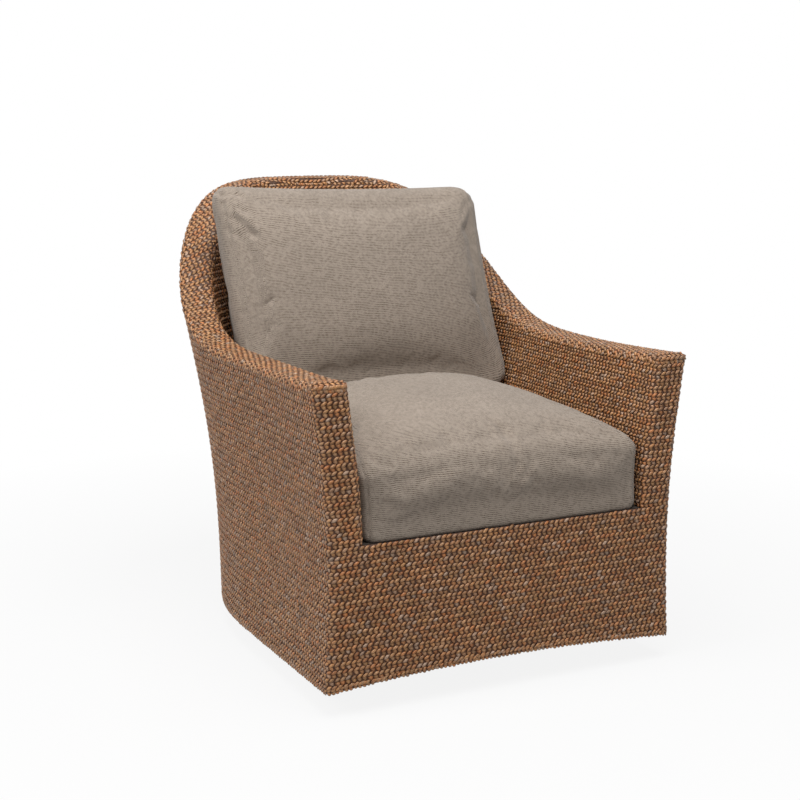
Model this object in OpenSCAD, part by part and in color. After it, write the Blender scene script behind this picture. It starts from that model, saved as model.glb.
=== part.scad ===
// Swivel rocker: a woven barrel shell with two loose cushions on a sprung rocker
// and a ball-bearing swivel base. Sizes are in millimetres. The front faces -Y,
// +Z is up, the floor is z = 0, and the origin lies under the middle of the chair.

/* [Shell] */
// Width across the shoulders of the rim
shell_w = 800; // [760:2:840]
// Width across the tops of the arm fronts
arm_front_w = 788; // [760:2:796]
// Width of the shell at its bottom edge
foot_w = 740; // [700:2:760]
// Depth from the front face to the back of the rim
shell_depth = 992; // [960:2:1030]
// Depth from the front face to the back of the bottom edge
foot_depth = 825; // [800:5:850]
// Depth at which the rim starts to turn round the back
shoulder_depth = 595; // [560:5:620]
// Depth at which the bottom edge starts to turn round the back
foot_bend_depth = 400; // [360:5:440]
// Height of the shell from its bottom edge to the top of the back
shell_h = 871; // [840:1:900]
// Height of the arm fronts above the bottom edge
arm_h = 565; // [540:1:590]
// Fall of the arms behind their fronts
arm_dip = 9; // [0:1:20]
// Drawing in of the arms halfway along them
arm_waist = 9; // [0:1:15]
// Depth at which the rim starts to rise to the back
rise_depth = 345; // [300:5:380]
// Height of the bottom edge above the floor
floor_gap = 45; // [45:1:60]
// Thickness of the wall, outer weave to inner weave
wall_t = 70; // [66:1:78]
// Thickness of the woven skin
weave_t = 7; // [5:0.5:8]
// Height of a ridge of plaited rows round the outside
ridge_h = 43; // [43:1:60]
// Depth of the grooves between the ridges
groove_d = 2.4; // [1:0.2:2.6]
// Hollow of the outer sides between bottom edge and rim
side_bow = 18; // [8:1:24]
// Hollow of the back between bottom edge and rim
back_bow = 46; // [20:1:55]
// Rounding of the woven edges
edge_r = 12; // [9:0.5:14]
// Depth to which the woven edge wraps lap the sides
wrap_lap = 30; // [28:1:36]
// Height of the front panel below the seat
apron_h = 268; // [255:1:280]
// Rise of the front panel's arched bottom edge
apron_arch = 17; // [0:1:20]

/* [Cushions] */
// Thickness of the seat cushion along its sides
seat_edge_t = 150; // [120:1:165]
// Crown of the seat cushion above its sides
seat_crown = 52; // [20:1:65]
// Depth of the seat cushion's highest point
seat_peak_depth = 350; // [300:5:380]
// Height of the back cushion
back_cushion_h = 438; // [400:1:450]
// Width of the back cushion
back_cushion_w = 584; // [540:2:590]
// Depth of the back cushion's front at the seat
back_front_depth = 522; // [500:1:540]
// Thickness of the back cushion along its sides
back_edge_t = 92; // [70:1:98]
// Crown of the back cushion's front
back_crown = 34; // [10:1:50]
// Lean of the back cushion from upright
back_lean = 19; // [17:0.5:20]

/* [Frame] */
// Thickness of the arm, back and foot boards
board_t = 20; // [16:1:24]
// Thickness of the upright ribs
rib_t = 18; // [12:1:22]
// Height of the seat rails
seat_rail_h = 100; // [80:1:100]
// Thickness of the seat rails
seat_rail_t = 28; // [22:1:32]
// Thickness of the front posts
post_t = 50; // [40:1:55]
// Height of the bearers
bearer_h = 45; // [35:1:45]
// Width of the bearers
bearer_w = 60; // [50:1:64]
// Length of the bearers
bearer_l = 560; // [548:2:566]
// Width of a webbing strap
strap_w = 60; // [40:1:66]
// Thickness of a webbing strap
strap_t = 2; // [1.5:0.1:2.5]

/* [Rocker] */
// Depth of the swivel axis behind the front face
axis_depth = 410; // [400:1:420]
// Height of the rocking pivots above the floor
pivot_h = 120; // [118:1:124]
// Rocking angle each way
rock_deg = 6; // [4:0.5:6]
// Diameter of the pivot pins
pin_d = 12; // [10:1:14]
// Thickness of the steel plates
plate_t = 5; // [4:0.5:6]
// Half distance between the insides of the pivot brackets
bracket_x = 130; // [126:1:136]
// Half distance between front and rear spring centres
spring_y = 75; // [72:1:78]
// Half distance between left and right spring centres
spring_x = 70; // [60:1:72]
// Mean diameter of the rocker springs
spring_d = 44; // [40:1:46]
// Wire diameter of the rocker springs
wire_d = 5; // [4:0.5:6]
// Number of curls in a rocker spring
spring_curls = 6; // [5:1:7]

/* [Base] */
// Diameter of the floor ring on its centre line
ring_d = 470; // [440:5:500]
// Diameter of the floor ring's tube
ring_tube_d = 22; // [20:1:24]
// Height of the floor glides
glide_h = 4; // [3:0.5:5]
// Number of floor glides
glides = 6; // [4:1:8]
// Width of a cross arm
cross_w = 34; // [30:1:40]
// Height of the cross arms and hub
cross_h = 14; // [12:1:15]
// Diameter of the hub
hub_d = 150; // [146:1:160]
// Diameter of a bearing ball
ball_d = 8; // [7:0.5:8]
// Number of bearing balls
balls = 16; // [12:1:20]
// Diameter of the circle on which the balls run
track_d = 114; // [110:1:118]
// Diameter of the kingpin
kingpin_d = 12; // [10:1:14]

/* [Hidden] */
$fn = 64;

// Clearance where two fixed pieces meet
fit = 0.3;
// Radial clearance of a turning fit
run_fit = 0.06;
// Clearance of a ball in its track
track_fit = 0.05;
// Clearance of the ribs behind the curved skins and under the curved boards
rib_fit = 0.9;
// Clearance of a soft piece beside its neighbour
soft_fit = 1.5;
// Overrun of every cut
over = 1;

// Front face and swivel axis in this frame, with the chair's whole depth centred
crest_share = edge_r / shell_h;
back_reach = mix(shell_depth, foot_depth, crest_share) - back_bow * sin(180 * crest_share);
front_y = -back_reach / 2;
axis_y = front_y + axis_depth;

// Share of the rim's run at which it starts to turn, and powers of its curves
bend_share = 0.45;
rim_side_power = 0.96;
rim_back_power = 0.87;
foot_side_power = 0.63;
foot_back_power = 0.87;
rise_power = 1.72;
crest_power = 2.13;
// Depth over which the arms fall
dip_depth = 320;
// Length of run for one unit of the rim's parameter
run_l = shoulder_depth / bend_share;
foot_bend_share = foot_bend_depth / run_l;
// Shares of the run where the sides meet the back, and of a small step
corner_share = 0.62;
step_share = 0.004;
side_steps = 14;
back_steps = 18;

function mix(a, b, s) = a + (b - a) * s;
function ease(s) = s * s * (3 - 2 * s);
function limit(s) = max(0, min(1, s));
function steps(a, b, n) = [for (i = [0:n]) mix(a, b, i / n)];
function along(l) = l / run_l;
function half(t) = t > 1 ? 2 - t : t;
function hand(t) = t > 1 ? -1 : 1;

// Plan of the rim and of the bottom edge, from the front (0) round to the back (1)
function turn(t, from) = 90 * limit((t - from) / (1 - from));
function rim_xy(t) = t < bend_share
    ? [mix(arm_front_w, shell_w, ease(t / bend_share)) / 2
       - arm_waist * pow(sin(180 * t / bend_share), 2),
       front_y + shoulder_depth * t / bend_share]
    : [shell_w / 2 * pow(cos(turn(t, bend_share)), rim_side_power),
       front_y + mix(shoulder_depth, shell_depth, pow(sin(turn(t, bend_share)), rim_back_power))];
function foot_xy(t) = t < foot_bend_share
    ? [foot_w / 2, front_y + foot_bend_depth * t / foot_bend_share]
    : [foot_w / 2 * pow(cos(turn(t, foot_bend_share)), foot_side_power),
       front_y + mix(foot_bend_depth, foot_depth,
                     pow(sin(turn(t, foot_bend_share)), foot_back_power))];
function mid_xy(t) = (rim_xy(t) + foot_xy(t)) / 2;

// Height of the rim's top
function rise(depth) = pow(sin(90 * pow(limit((depth - rise_depth)
    / (shell_depth - rise_depth)), rise_power)), crest_power);
function rim_z(t) = let (depth = rim_xy(half(t)).y - front_y)
    floor_gap + arm_h - arm_dip * sin(90 * min(1, depth / dip_depth))
    + (shell_h - arm_h + arm_dip) * rise(depth);

// Inward direction of the wall in plan, and a point at height z and depth d in it
function inward(h) = h <= 0 ? [-1, 0] : h >= 1 ? [0, -1]
    : let (d = mid_xy(min(1, h + step_share)) - mid_xy(max(0, h - step_share)))
      [-d.y, d.x] / norm(d);
function bow(n) = mix(back_bow, side_bow, n.x * n.x);
function wall(t, z, d) = let (
        h = half(t),
        v = limit((z - floor_gap) / (rim_z(h) - floor_gap)),
        n = inward(h),
        p = mix(foot_xy(h), rim_xy(h), v) + n * (bow(n) * sin(180 * v) + d))
    [p.x * hand(t), p.y, z];
function level(t, at) = mix(floor_gap, rim_z(t), at[0]) + at[1];
// Drop of the skins below the rim, and rows of their inner faces
skin_drop = wrap_lap + 2 * fit;
weave_rows = 9;

// Closed solid between two grids of points of the same size
module between(a, b) {
    rows = len(a);
    cols = len(a[0]);
    shift = rows * cols;
    polyhedron(
        points = [for (r = a) each r, for (r = b) each r],
        faces = [
            for (i = [0:rows - 2], j = [0:cols - 2]) let (k = i * cols + j)
                each [[k, k + 1, k + cols + 1], [k, k + cols + 1, k + cols],
                      [shift + k, shift + k + cols + 1, shift + k + 1],
                      [shift + k, shift + k + cols, shift + k + cols + 1]],
            for (j = [0:cols - 2], e = [0, rows - 1]) let (k = e * cols + j, s = shift + k)
                each e == 0 ? [[k, s + 1, k + 1], [k, s, s + 1]]
                            : [[k, k + 1, s + 1], [k, s + 1, s]],
            for (i = [0:rows - 2], e = [0, cols - 1]) let (k = i * cols + e, s = shift + k)
                each e == 0 ? [[k, s + cols, s], [k, k + cols, s + cols]]
                            : [[k, s, s + cols], [k, s + cols, k + cols]]
        ]);
}

// Piece of the wall along ts, between two levels and two depths
module wall_piece(ts, low, high, d0, d1, rows = 1)
    between(
        [for (t = ts) [for (s = steps(0, 1, rows)) wall(t, mix(level(t, low), level(t, high), s), d0)]],
        [for (t = ts) [for (s = steps(0, 1, rows)) wall(t, mix(level(t, low), level(t, high), s), d1)]]);

// Ridged skin along ts: level ridges up to the arms, and above them ridges that close up
// to the rim. The outer face has a groove below and above every ridge, the inner is smooth.
low_ridges = floor((arm_h - arm_dip - skin_drop) / ridge_h);
high_ridges = round((shell_h - skin_drop) / ridge_h) - low_ridges;
low_ridges_top = floor_gap + low_ridges * ridge_h;
ridge_steps = 2 * (low_ridges + high_ridges);
function ridge_rise(t) = (level(t, [1, -skin_drop]) - low_ridges_top) / (2 * high_ridges);
function ridge_z(t, k) = let (above = k - 2 * low_ridges)
    above < 0 ? floor_gap + k * ridge_h / 2 : low_ridges_top + above * ridge_rise(t);
function groove(t, k) = k % 2 == 1 ? 0
    : k <= 2 * low_ridges ? groove_d : groove_d * limit(2 * ridge_rise(t) / ridge_h);
function seam_row(k) = floor((k + 0.5) * weave_rows / ridge_steps + 0.5);

module ridged_skin(ts) {
    n = ridge_steps + 1;
    m = weave_rows + 1;
    last = len(ts) - 1;
    shift = len(ts) * n;
    polyhedron(
        points = [
            for (t = ts, k = [0:ridge_steps]) wall(t, ridge_z(t, k), groove(t, k)),
            for (t = ts, s = steps(0, 1, weave_rows))
                wall(t, mix(floor_gap, level(t, [1, -skin_drop]), s), weave_t)],
        faces = [
            for (i = [0:last - 1], k = [0:ridge_steps - 1]) let (a = i * n + k)
                each [[a, a + 1, a + n + 1], [a, a + n + 1, a + n]],
            for (i = [0:last - 1], j = [0:weave_rows - 1]) let (a = shift + i * m + j)
                each [[a, a + m + 1, a + 1], [a, a + m, a + m + 1]],
            for (i = [0:last - 1]) let (a = i * n, b = shift + i * m)
                each [[a, b + m, b], [a, a + n, b + m],
                      [a + ridge_steps, b + weave_rows, b + m + weave_rows],
                      [a + ridge_steps, b + m + weave_rows, a + n + ridge_steps]],
            for (k = [0:ridge_steps - 1]) let (j = shift + seam_row(k), a = last * n + k)
                each [[k, j, k + 1], [a, a + 1, j + last * m]],
            for (k = [1:ridge_steps - 1]) let (j = shift + seam_row(k - 1), a = last * n + k)
                if (seam_row(k) > seam_row(k - 1))
                    each [[k, j, j + 1], [a, j + last * m + 1, j + last * m]]
        ]);
}

// Solid between closed rings of points and two end points
module capped(rings, first, last) {
    n = len(rings[0]);
    m = len(rings);
    polyhedron(
        points = [each [for (r = rings) each r], first, last],
        faces = [
            for (i = [0:m - 2], j = [0:n - 1]) let (a = i * n + j, b = i * n + (j + 1) % n)
                each [[a, b + n, b], [a, a + n, b + n]],
            for (j = [0:n - 1]) [j, (j + 1) % n, n * m],
            for (j = [0:n - 1]) [(m - 1) * n + (j + 1) % n, (m - 1) * n + j, n * m + 1]
        ]);
}

// Heights of the seat, from the front panel's top downwards
deck_top = floor_gap + apron_h;
cloth_z = deck_top - strap_t;
cross_strap_z = cloth_z - fit - strap_t;
long_strap_z = cross_strap_z - fit - strap_t;
rail_top = long_strap_z - fit;
rail_z = rail_top - seat_rail_h;
bearer_z = rail_z - fit - bearer_h;
crossplate_z = bearer_z - fit - plate_t;
arm_top = crossplate_z - fit;

// Depths in the wall
rib_d0 = weave_t + rib_fit;
rib_d1 = wall_t - weave_t - rib_fit;
rail_d0 = rib_d1 + rib_fit;
rail_d1 = rail_d0 + seat_rail_t;
board_drop = weave_t + fit;
foot_lift = board_t / 4;
rib_drop = board_drop + board_t + 2 * rib_fit;

// Runs round the sides and the back, and the stations on them where the ribs stand
side_run = steps(along(skin_drop), corner_share - along(fit), side_steps);
inner_side_run = [for (i = [1:side_steps]) side_run[i]];
board_run = [along(edge_r), each inner_side_run];
inner_skin_run = [along(skin_drop + rib_fit), each inner_side_run];
side_rail_run = [along(rib_d0 + seat_rail_t + fit + rib_fit), each inner_side_run];
back_run = steps(corner_share, 2 - corner_share, back_steps);
side_rib_stations = [3, 6, 9, 12];
back_rib_stations = [1, 5, 9, 13, 17];
rib_rows = 18;

// Heights of the swivel
ring_z = glide_h + ring_tube_d / 2;
hub_z = ring_z - cross_h / 2;
cross_l = sqrt(pow((ring_d - ring_tube_d) / 2, 2) - pow(cross_w / 2, 2)) - fit;
race_h = ball_d * 3 / 4;
race_gap = ball_d / 2;
race_w = ball_d * 3;
lower_race_z = hub_z + cross_h + fit;
ball_z = lower_race_z + race_h + race_gap / 2;
upper_race_z = ball_z + race_gap / 2;
plate_z = upper_race_z + race_h + fit;
plate_top = plate_z + plate_t;
plate_l = 2 * (bracket_x + plate_t * 4);
plate_w = 2 * (spring_y + spring_d / 2 + plate_t * 2);
head_h = plate_t;
washer_h = plate_t / 2;
nut_h = kingpin_d * 5 / 6;
nut_z = plate_top + 2 * fit + washer_h;
cage_t = race_gap / 2;
cage_w = ball_d * 7 / 4;

// Sizes of the rocker
seat_t = plate_t * 3 / 5;
seat_boss_h = plate_t * 2;
lower_seat_top = plate_top + fit + seat_t;
upper_seat_z = arm_top - seat_t;
foot_flange_w = bracket_x - spring_x - spring_d / 2 - plate_t;
arm_x = bracket_x + plate_t + fit + washer_h / 2 + fit;
bush_wall = pin_d / 6;
flange_w = plate_t * 7;
arm_half = spring_y + bearer_w / 2;
tail_w = plate_t * 18 / 5;
stop_y = arm_half - plate_t * 3;
tail_z = pivot_h - plate_t * 58 / 5;
stop_top = pivot_h - (pivot_h - tail_z) * cos(rock_deg) - (stop_y + tail_w / 2) * sin(rock_deg) - fit;
bolt_d = plate_t * 8 / 5;
bolt_x = arm_x + plate_t + (flange_w - plate_t) / 2;

// Floor base: a bent steel tube ring, a welded cross with its hub, and plastic glides
module base_ring()
    color("dimgray")
        translate([0, axis_y, ring_z])
            rotate_extrude($fn = 96)
                translate([ring_d / 2, 0])
                    circle(d = ring_tube_d, $fn = 32);

module base_cross()
    color("dimgray")
        translate([0, axis_y, hub_z])
            difference() {
                union() {
                    cylinder(d = hub_d, h = cross_h);
                    for (a = [45:90:315])
                        rotate(a)
                            translate([0, -cross_w / 2, 0])
                                cube([cross_l, cross_w, cross_h]);
                }
                translate([0, 0, -over])
                    cylinder(d = kingpin_d + 2 * fit, h = cross_h + 2 * over);
            }

module floor_glides()
    color("black")
        for (i = [0:glides - 1])
            translate([0, axis_y, 0])
                rotate(360 / glides * i)
                    translate([ring_d / 2, 0, 0])
                        cylinder(d = ring_tube_d - glide_h, h = glide_h - fit);

// Swivel bearing: two grooved races, a cage of balls, and the kingpin through them
module race(z, track_z)
    color("silver")
        translate([0, axis_y, 0])
            difference() {
                translate([0, 0, z])
                    cylinder(d = track_d + race_w, h = race_h);
                translate([0, 0, z - over])
                    cylinder(d = track_d - race_w, h = race_h + 2 * over);
                translate([0, 0, track_z])
                    rotate_extrude($fn = 96)
                        translate([track_d / 2, 0])
                            circle(d = ball_d + 2 * track_fit, $fn = 32);
            }

module lower_race() race(lower_race_z, ball_z);

module upper_race() race(upper_race_z, ball_z);

module ball_cage()
    color("goldenrod")
        translate([0, axis_y, ball_z - cage_t / 2])
            difference() {
                cylinder(d = track_d + cage_w, h = cage_t);
                translate([0, 0, -over])
                    cylinder(d = track_d - cage_w, h = cage_t + 2 * over);
                for (i = [0:balls - 1])
                    rotate(360 / balls * i)
                        translate([track_d / 2, 0, -over])
                            cylinder(d = ball_d + 4 * track_fit, h = cage_t + 2 * over, $fn = 24);
            }

module bearing_balls()
    color("lightgray")
        for (i = [0:balls - 1])
            translate([0, axis_y, ball_z])
                rotate(360 / balls * i)
                    translate([track_d / 2, 0, 0])
                        sphere(d = ball_d, $fn = 24);

module kingpin()
    color("silver")
        translate([0, axis_y, 0]) {
            translate([0, 0, hub_z - fit - head_h])
                cylinder(d = kingpin_d * 2, h = head_h);
            translate([0, 0, hub_z - fit - head_h / 2])
                cylinder(d = kingpin_d, h = nut_z + nut_h + washer_h - hub_z + fit + head_h / 2);
        }

module kingpin_washer()
    color("silver")
        translate([0, axis_y, plate_top + fit])
            difference() {
                cylinder(d = kingpin_d * 5 / 2, h = washer_h);
                translate([0, 0, -over])
                    cylinder(d = kingpin_d + fit, h = washer_h + 2 * over);
            }

module kingpin_nut()
    color("silver")
        translate([0, axis_y, nut_z])
            difference() {
                cylinder(d = kingpin_d * 9 / 5, h = nut_h, $fn = 6);
                translate([0, 0, -over])
                    cylinder(d = kingpin_d + fit, h = nut_h + 2 * over);
            }

// Swivel plate and what stands on it
rivet_x = bracket_x - foot_flange_w / 2;
rivet_y = spring_y / 3;

module swivel_plate()
    color("slategray")
        translate([0, axis_y, plate_z])
            difference() {
                translate([-plate_l / 2, -plate_w / 2, 0])
                    cube([plate_l, plate_w, plate_t]);
                translate([0, 0, -over])
                    cylinder(d = kingpin_d + 2 * run_fit, h = plate_t + 2 * over);
                for (x = [-rivet_x, rivet_x], y = [-rivet_y, rivet_y])
                    translate([x, y, -over])
                        cylinder(d = bolt_d + fit, h = plate_t + 2 * over);
            }

module pivot_bracket_right()
    color("slategray")
        translate([0, axis_y, 0])
            difference() {
                union() {
                    translate([bracket_x - foot_flange_w, -spring_y * 4 / 5, plate_top + fit])
                        cube([foot_flange_w + plate_t / 2, spring_y * 8 / 5, plate_t]);
                    translate([bracket_x, 0, 0])
                        rotate([90, 0, 90])
                            linear_extrude(plate_t)
                                polygon([[-spring_y * 4 / 5, plate_top + fit],
                                         [spring_y * 4 / 5, plate_top + fit],
                                         [spring_y * 4 / 5, plate_top + fit + pin_d],
                                         [pin_d * 3 / 2, pivot_h + pin_d * 3 / 2],
                                         [-pin_d * 3 / 2, pivot_h + pin_d * 3 / 2],
                                         [-spring_y * 4 / 5, plate_top + fit + pin_d]]);
                }
                translate([bracket_x - over, 0, pivot_h])
                    rotate([0, 90, 0])
                        cylinder(d = pin_d + 2 * run_fit, h = plate_t + 2 * over);
                for (y = [-rivet_y, rivet_y])
                    translate([rivet_x, y, plate_top + fit - over])
                        cylinder(d = bolt_d + fit, h = plate_t + 2 * over);
            }

module pivot_bracket_left() mirror([1, 0, 0]) pivot_bracket_right();

module bracket_rivets()
    color("silver")
        for (x = [-rivet_x, rivet_x], y = [-rivet_y, rivet_y])
            translate([x, axis_y + y, 0]) {
                translate([0, 0, plate_z - fit - head_h / 2])
                    cylinder(d = bolt_d * 7 / 4, h = head_h / 2);
                translate([0, 0, plate_z - fit - head_h / 4])
                    cylinder(d = bolt_d, h = 2 * plate_t + 3 * fit + head_h / 2);
                translate([0, 0, plate_top + plate_t + 2 * fit])
                    cylinder(d = bolt_d * 7 / 4, h = head_h / 2);
            }

module lower_spring_seats()
    color("dimgray")
        for (x = [-spring_x, spring_x], y = [-spring_y, spring_y])
            translate([x, axis_y + y, plate_top + fit]) {
                cylinder(d = spring_d + 2 * wire_d, h = seat_t);
                cylinder(d = spring_d - 2 * wire_d, h = seat_t + seat_boss_h);
            }

module upper_spring_seats()
    color("dimgray")
        for (x = [-spring_x, spring_x], y = [-spring_y, spring_y])
            translate([x, axis_y + y, upper_seat_z]) {
                cylinder(d = spring_d + 2 * wire_d, h = seat_t);
                translate([0, 0, -seat_boss_h])
                    cylinder(d = spring_d - 2 * wire_d, h = seat_t + seat_boss_h);
            }

// Rocker springs: steel wire wound as one helix between the spring seats
spring_low = lower_seat_top + fit + wire_d / 2;
spring_high = upper_seat_z - fit - wire_d / 2;
curl_steps = 8;
wire_sides = 6;
spring_steps = spring_curls * curl_steps;
function coil_point(i) = [cos(360 * i / curl_steps) * spring_d / 2,
                          sin(360 * i / curl_steps) * spring_d / 2,
                          mix(spring_low, spring_high, i / spring_steps)];
function coil_ring(i) = let (
        p = coil_point(i),
        d = coil_point(i + 1 / curl_steps) - coil_point(i - 1 / curl_steps),
        f = d / norm(d),
        out = [cos(360 * i / curl_steps), sin(360 * i / curl_steps), 0],
        up = cross(f, out))
    [for (k = [0:wire_sides - 1])
        p + (out * cos(360 * k / wire_sides) + up * sin(360 * k / wire_sides)) * wire_d / 2];
function coil_gap(i) = min([for (j = [curl_steps * 3 / 4:curl_steps * 5 / 4])
    norm(coil_point(i + j) - coil_point(i))]) - wire_d;
echo(least_gap_between_spring_curls = min([for (i = [0:spring_steps - curl_steps * 2]) coil_gap(i)]));

module spring_pair(y)
    color("gray")
        for (x = [-spring_x, spring_x])
            translate([x, axis_y + y, 0])
                capped([for (i = [0:spring_steps]) coil_ring(i)], coil_point(0), coil_point(spring_steps));

module front_springs() spring_pair(-spring_y);

module rear_springs() spring_pair(spring_y);

module pivot_pins()
    color("silver")
        for (s = [-1, 1])
            translate([0, axis_y, pivot_h])
                rotate([0, 90 * s, 0]) {
                    translate([0, 0, bracket_x - fit - head_h])
                        cylinder(d = pin_d * 5 / 3, h = head_h);
                    translate([0, 0, bracket_x - fit - head_h / 2])
                        cylinder(d = pin_d, h = arm_x - bracket_x + fit + head_h / 2 + plate_t * 2);
                }

module pin_clips()
    color("silver")
        for (s = [-1, 1])
            translate([0, axis_y, pivot_h])
                rotate([0, 90 * s, 0])
                    translate([0, 0, arm_x + plate_t + 2 * fit])
                        difference() {
                            cylinder(d = pin_d * 5 / 3, h = washer_h / 2);
                            translate([0, 0, -over])
                                cylinder(d = pin_d + 2 * run_fit, h = washer_h / 2 + 2 * over);
                        }

module rubber_stops()
    color("black")
        for (s = [-1, 1], y = [-stop_y, stop_y])
            translate([s * (arm_x + plate_t / 2), axis_y + y, plate_top + fit])
                cylinder(d = plate_t * 4, h = stop_top - plate_top - fit);

// Rocker: plate arms on bushes, crossplates over the springs, bolts up to the bearers
module rocker_arm_right()
    color("slategray")
        translate([0, axis_y, 0])
            difference() {
                union() {
                    translate([arm_x, 0, 0])
                        rotate([90, 0, 90])
                            linear_extrude(plate_t)
                                polygon([[-arm_half, arm_top], [-arm_half, arm_top - pin_d],
                                         [-stop_y - tail_w / 2, tail_z], [-stop_y + tail_w / 2, tail_z],
                                         [-stop_y + tail_w * 3 / 2, pivot_h - pin_d * 2],
                                         [-pin_d * 3 / 2, pivot_h - pin_d * 3 / 2],
                                         [pin_d * 3 / 2, pivot_h - pin_d * 3 / 2],
                                         [stop_y - tail_w * 3 / 2, pivot_h - pin_d * 2],
                                         [stop_y - tail_w / 2, tail_z], [stop_y + tail_w / 2, tail_z],
                                         [arm_half, arm_top - pin_d], [arm_half, arm_top]]);
                    translate([arm_x + plate_t / 2, -arm_half, arm_top - plate_t])
                        cube([flange_w - plate_t / 2, 2 * arm_half, plate_t]);
                }
                translate([arm_x - over, 0, pivot_h])
                    rotate([0, 90, 0])
                        cylinder(d = pin_d + 2 * bush_wall + fit, h = plate_t + 2 * over);
                for (y = [-spring_y, spring_y])
                    translate([bolt_x, y, arm_top - plate_t - over])
                        cylinder(d = bolt_d + fit, h = plate_t + 2 * over);
            }

module rocker_arm_left() mirror([1, 0, 0]) rocker_arm_right();

module pivot_bushes()
    color("ivory")
        for (s = [-1, 1])
            translate([0, axis_y, pivot_h])
                rotate([0, 90 * s, 0])
                    difference() {
                        union() {
                            translate([0, 0, arm_x - fit - washer_h / 2])
                                cylinder(d = pin_d * 5 / 3, h = washer_h / 2);
                            translate([0, 0, arm_x - fit - washer_h / 4])
                                cylinder(d = pin_d + 2 * bush_wall, h = plate_t + fit + washer_h / 4 + fit);
                        }
                        translate([0, 0, arm_x - washer_h - over])
                            cylinder(d = pin_d + 2 * run_fit, h = plate_t + washer_h * 2 + 2 * over);
                    }

module crossplate(y)
    color("slategray")
        translate([0, axis_y + y, crossplate_z])
            difference() {
                translate([-arm_x - flange_w, -bearer_w / 2, 0])
                    cube([2 * (arm_x + flange_w), bearer_w, plate_t]);
                for (x = [-bolt_x, bolt_x])
                    translate([x, 0, -over])
                        cylinder(d = bolt_d + fit, h = plate_t + 2 * over);
            }

module front_crossplate() crossplate(-spring_y);

module rear_crossplate() crossplate(spring_y);

module bearer(y)
    color("burlywood")
        translate([0, axis_y + y, bearer_z])
            difference() {
                translate([-bearer_l / 2, -bearer_w / 2, 0])
                    cube([bearer_l, bearer_w, bearer_h]);
                for (x = [-bolt_x, bolt_x])
                    translate([x, 0, -over])
                        cylinder(d = bolt_d + fit, h = bearer_h + 2 * over);
            }

module front_bearer() bearer(-spring_y);

module rear_bearer() bearer(spring_y);

module mounting_bolts()
    color("silver")
        for (x = [-bolt_x, bolt_x], y = [-spring_y, spring_y])
            translate([x, axis_y + y, 0]) {
                translate([0, 0, arm_top - plate_t - fit - head_h])
                    cylinder(d = bolt_d * 7 / 4, h = head_h, $fn = 6);
                translate([0, 0, arm_top - plate_t - fit - head_h / 2])
                    cylinder(d = bolt_d, h = bearer_z + bearer_h + bolt_d - arm_top + plate_t
                                             + 2 * fit + head_h / 2);
            }

module mounting_nuts()
    color("silver")
        for (x = [-bolt_x, bolt_x], y = [-spring_y, spring_y])
            translate([x, axis_y + y, bearer_z + bearer_h + fit])
                difference() {
                    cylinder(d = bolt_d * 7 / 4, h = bolt_d * 4 / 5, $fn = 6);
                    translate([0, 0, -over])
                        cylinder(d = bolt_d + fit, h = bolt_d + 2 * over);
                }

// Seat frame: rails on the ribs' inner faces, straps across them, and the deck cloth
module seat_rail_right()
    color("burlywood")
        wall_piece(side_rail_run,
                   [0, rail_z - floor_gap], [0, rail_top - floor_gap], rail_d0, rail_d1, 3);

module seat_rail_left() mirror([1, 0, 0]) seat_rail_right();

module seat_rail_back()
    color("burlywood")
        wall_piece(back_run, [0, rail_z - floor_gap], [0, rail_top - floor_gap], rail_d0, rail_d1, 3);

front_rail_l = 2 * (wall(0, rail_z, wall_t - edge_r).x - rib_fit);

module seat_rail_front()
    color("burlywood")
        translate([-front_rail_l / 2, front_y + rib_d0, rail_z])
            cube([front_rail_l, seat_rail_t, seat_rail_h]);

strap_x_shares = [-0.75, -0.25, 0.25, 0.75];
strap_y_shares = [0.16, 0.34, 0.52, 0.7];
strap_pitch_x = bearer_l / 2 - strap_w / 2;
strap_inset = seat_rail_t / 2;
rail_line = [for (t = steps(1, 0.4, 40)) let (p = wall(t, rail_top, rail_d1 - strap_inset)) [p.x, p.y]];
side_line = [for (t = steps(0, 0.8, 40)) let (p = wall(t, rail_top, rail_d1 - strap_inset)) [p.y, p.x]];

module seat_webbing()
    color("black") {
        for (s = strap_x_shares)
            let (x = s * strap_pitch_x,
                 front = front_y + rib_d0 + strap_inset,
                 back = lookup(abs(x) + strap_w / 2, rail_line))
                translate([x - strap_w / 2, front, long_strap_z])
                    cube([strap_w, back - front, strap_t]);
        for (s = strap_y_shares)
            let (y = front_y + s * foot_depth,
                 reach = lookup(y + strap_w / 2, side_line))
                translate([-reach, y - strap_w / 2, cross_strap_z])
                    cube([2 * reach, strap_w, strap_t]);
    }

module deck_cloth()
    color("black")
        translate([0, 0, cloth_z])
            linear_extrude(strap_t)
                polygon([for (t = steps(along(rib_d0), 2 - along(rib_d0), 60))
                    let (p = wall(t, deck_top, wall_t - weave_t)) [p.x, p.y]]);

// Wall frame: foot boards, ribs and posts, and the boards under the rim
module foot_board_right()
    color("burlywood")
        wall_piece(board_run, [0, foot_lift], [0, foot_lift + board_t], rib_d0, rib_d1);

module foot_board_left() mirror([1, 0, 0]) foot_board_right();

module foot_board_back()
    color("burlywood")
        wall_piece(back_run, [0, foot_lift], [0, foot_lift + board_t], rib_d0, rib_d1);

foot_front_l = 2 * wall(0, floor_gap + board_t * 2, rib_d1 + fit).x;

module foot_board_front()
    color("burlywood")
        translate([-foot_front_l / 2, front_y + rib_d0, floor_gap + apron_arch + board_t / 5])
            cube([foot_front_l, post_t, board_t]);

module front_posts()
    color("burlywood")
        for (s = [0, 1])
            mirror([s, 0, 0])
                wall_piece([along(rib_d0), along(rib_d0 + post_t)],
                           [0, foot_lift + board_t + fit], [1, -rib_drop],
                           edge_r, wall_t - edge_r, rib_rows);

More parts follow.
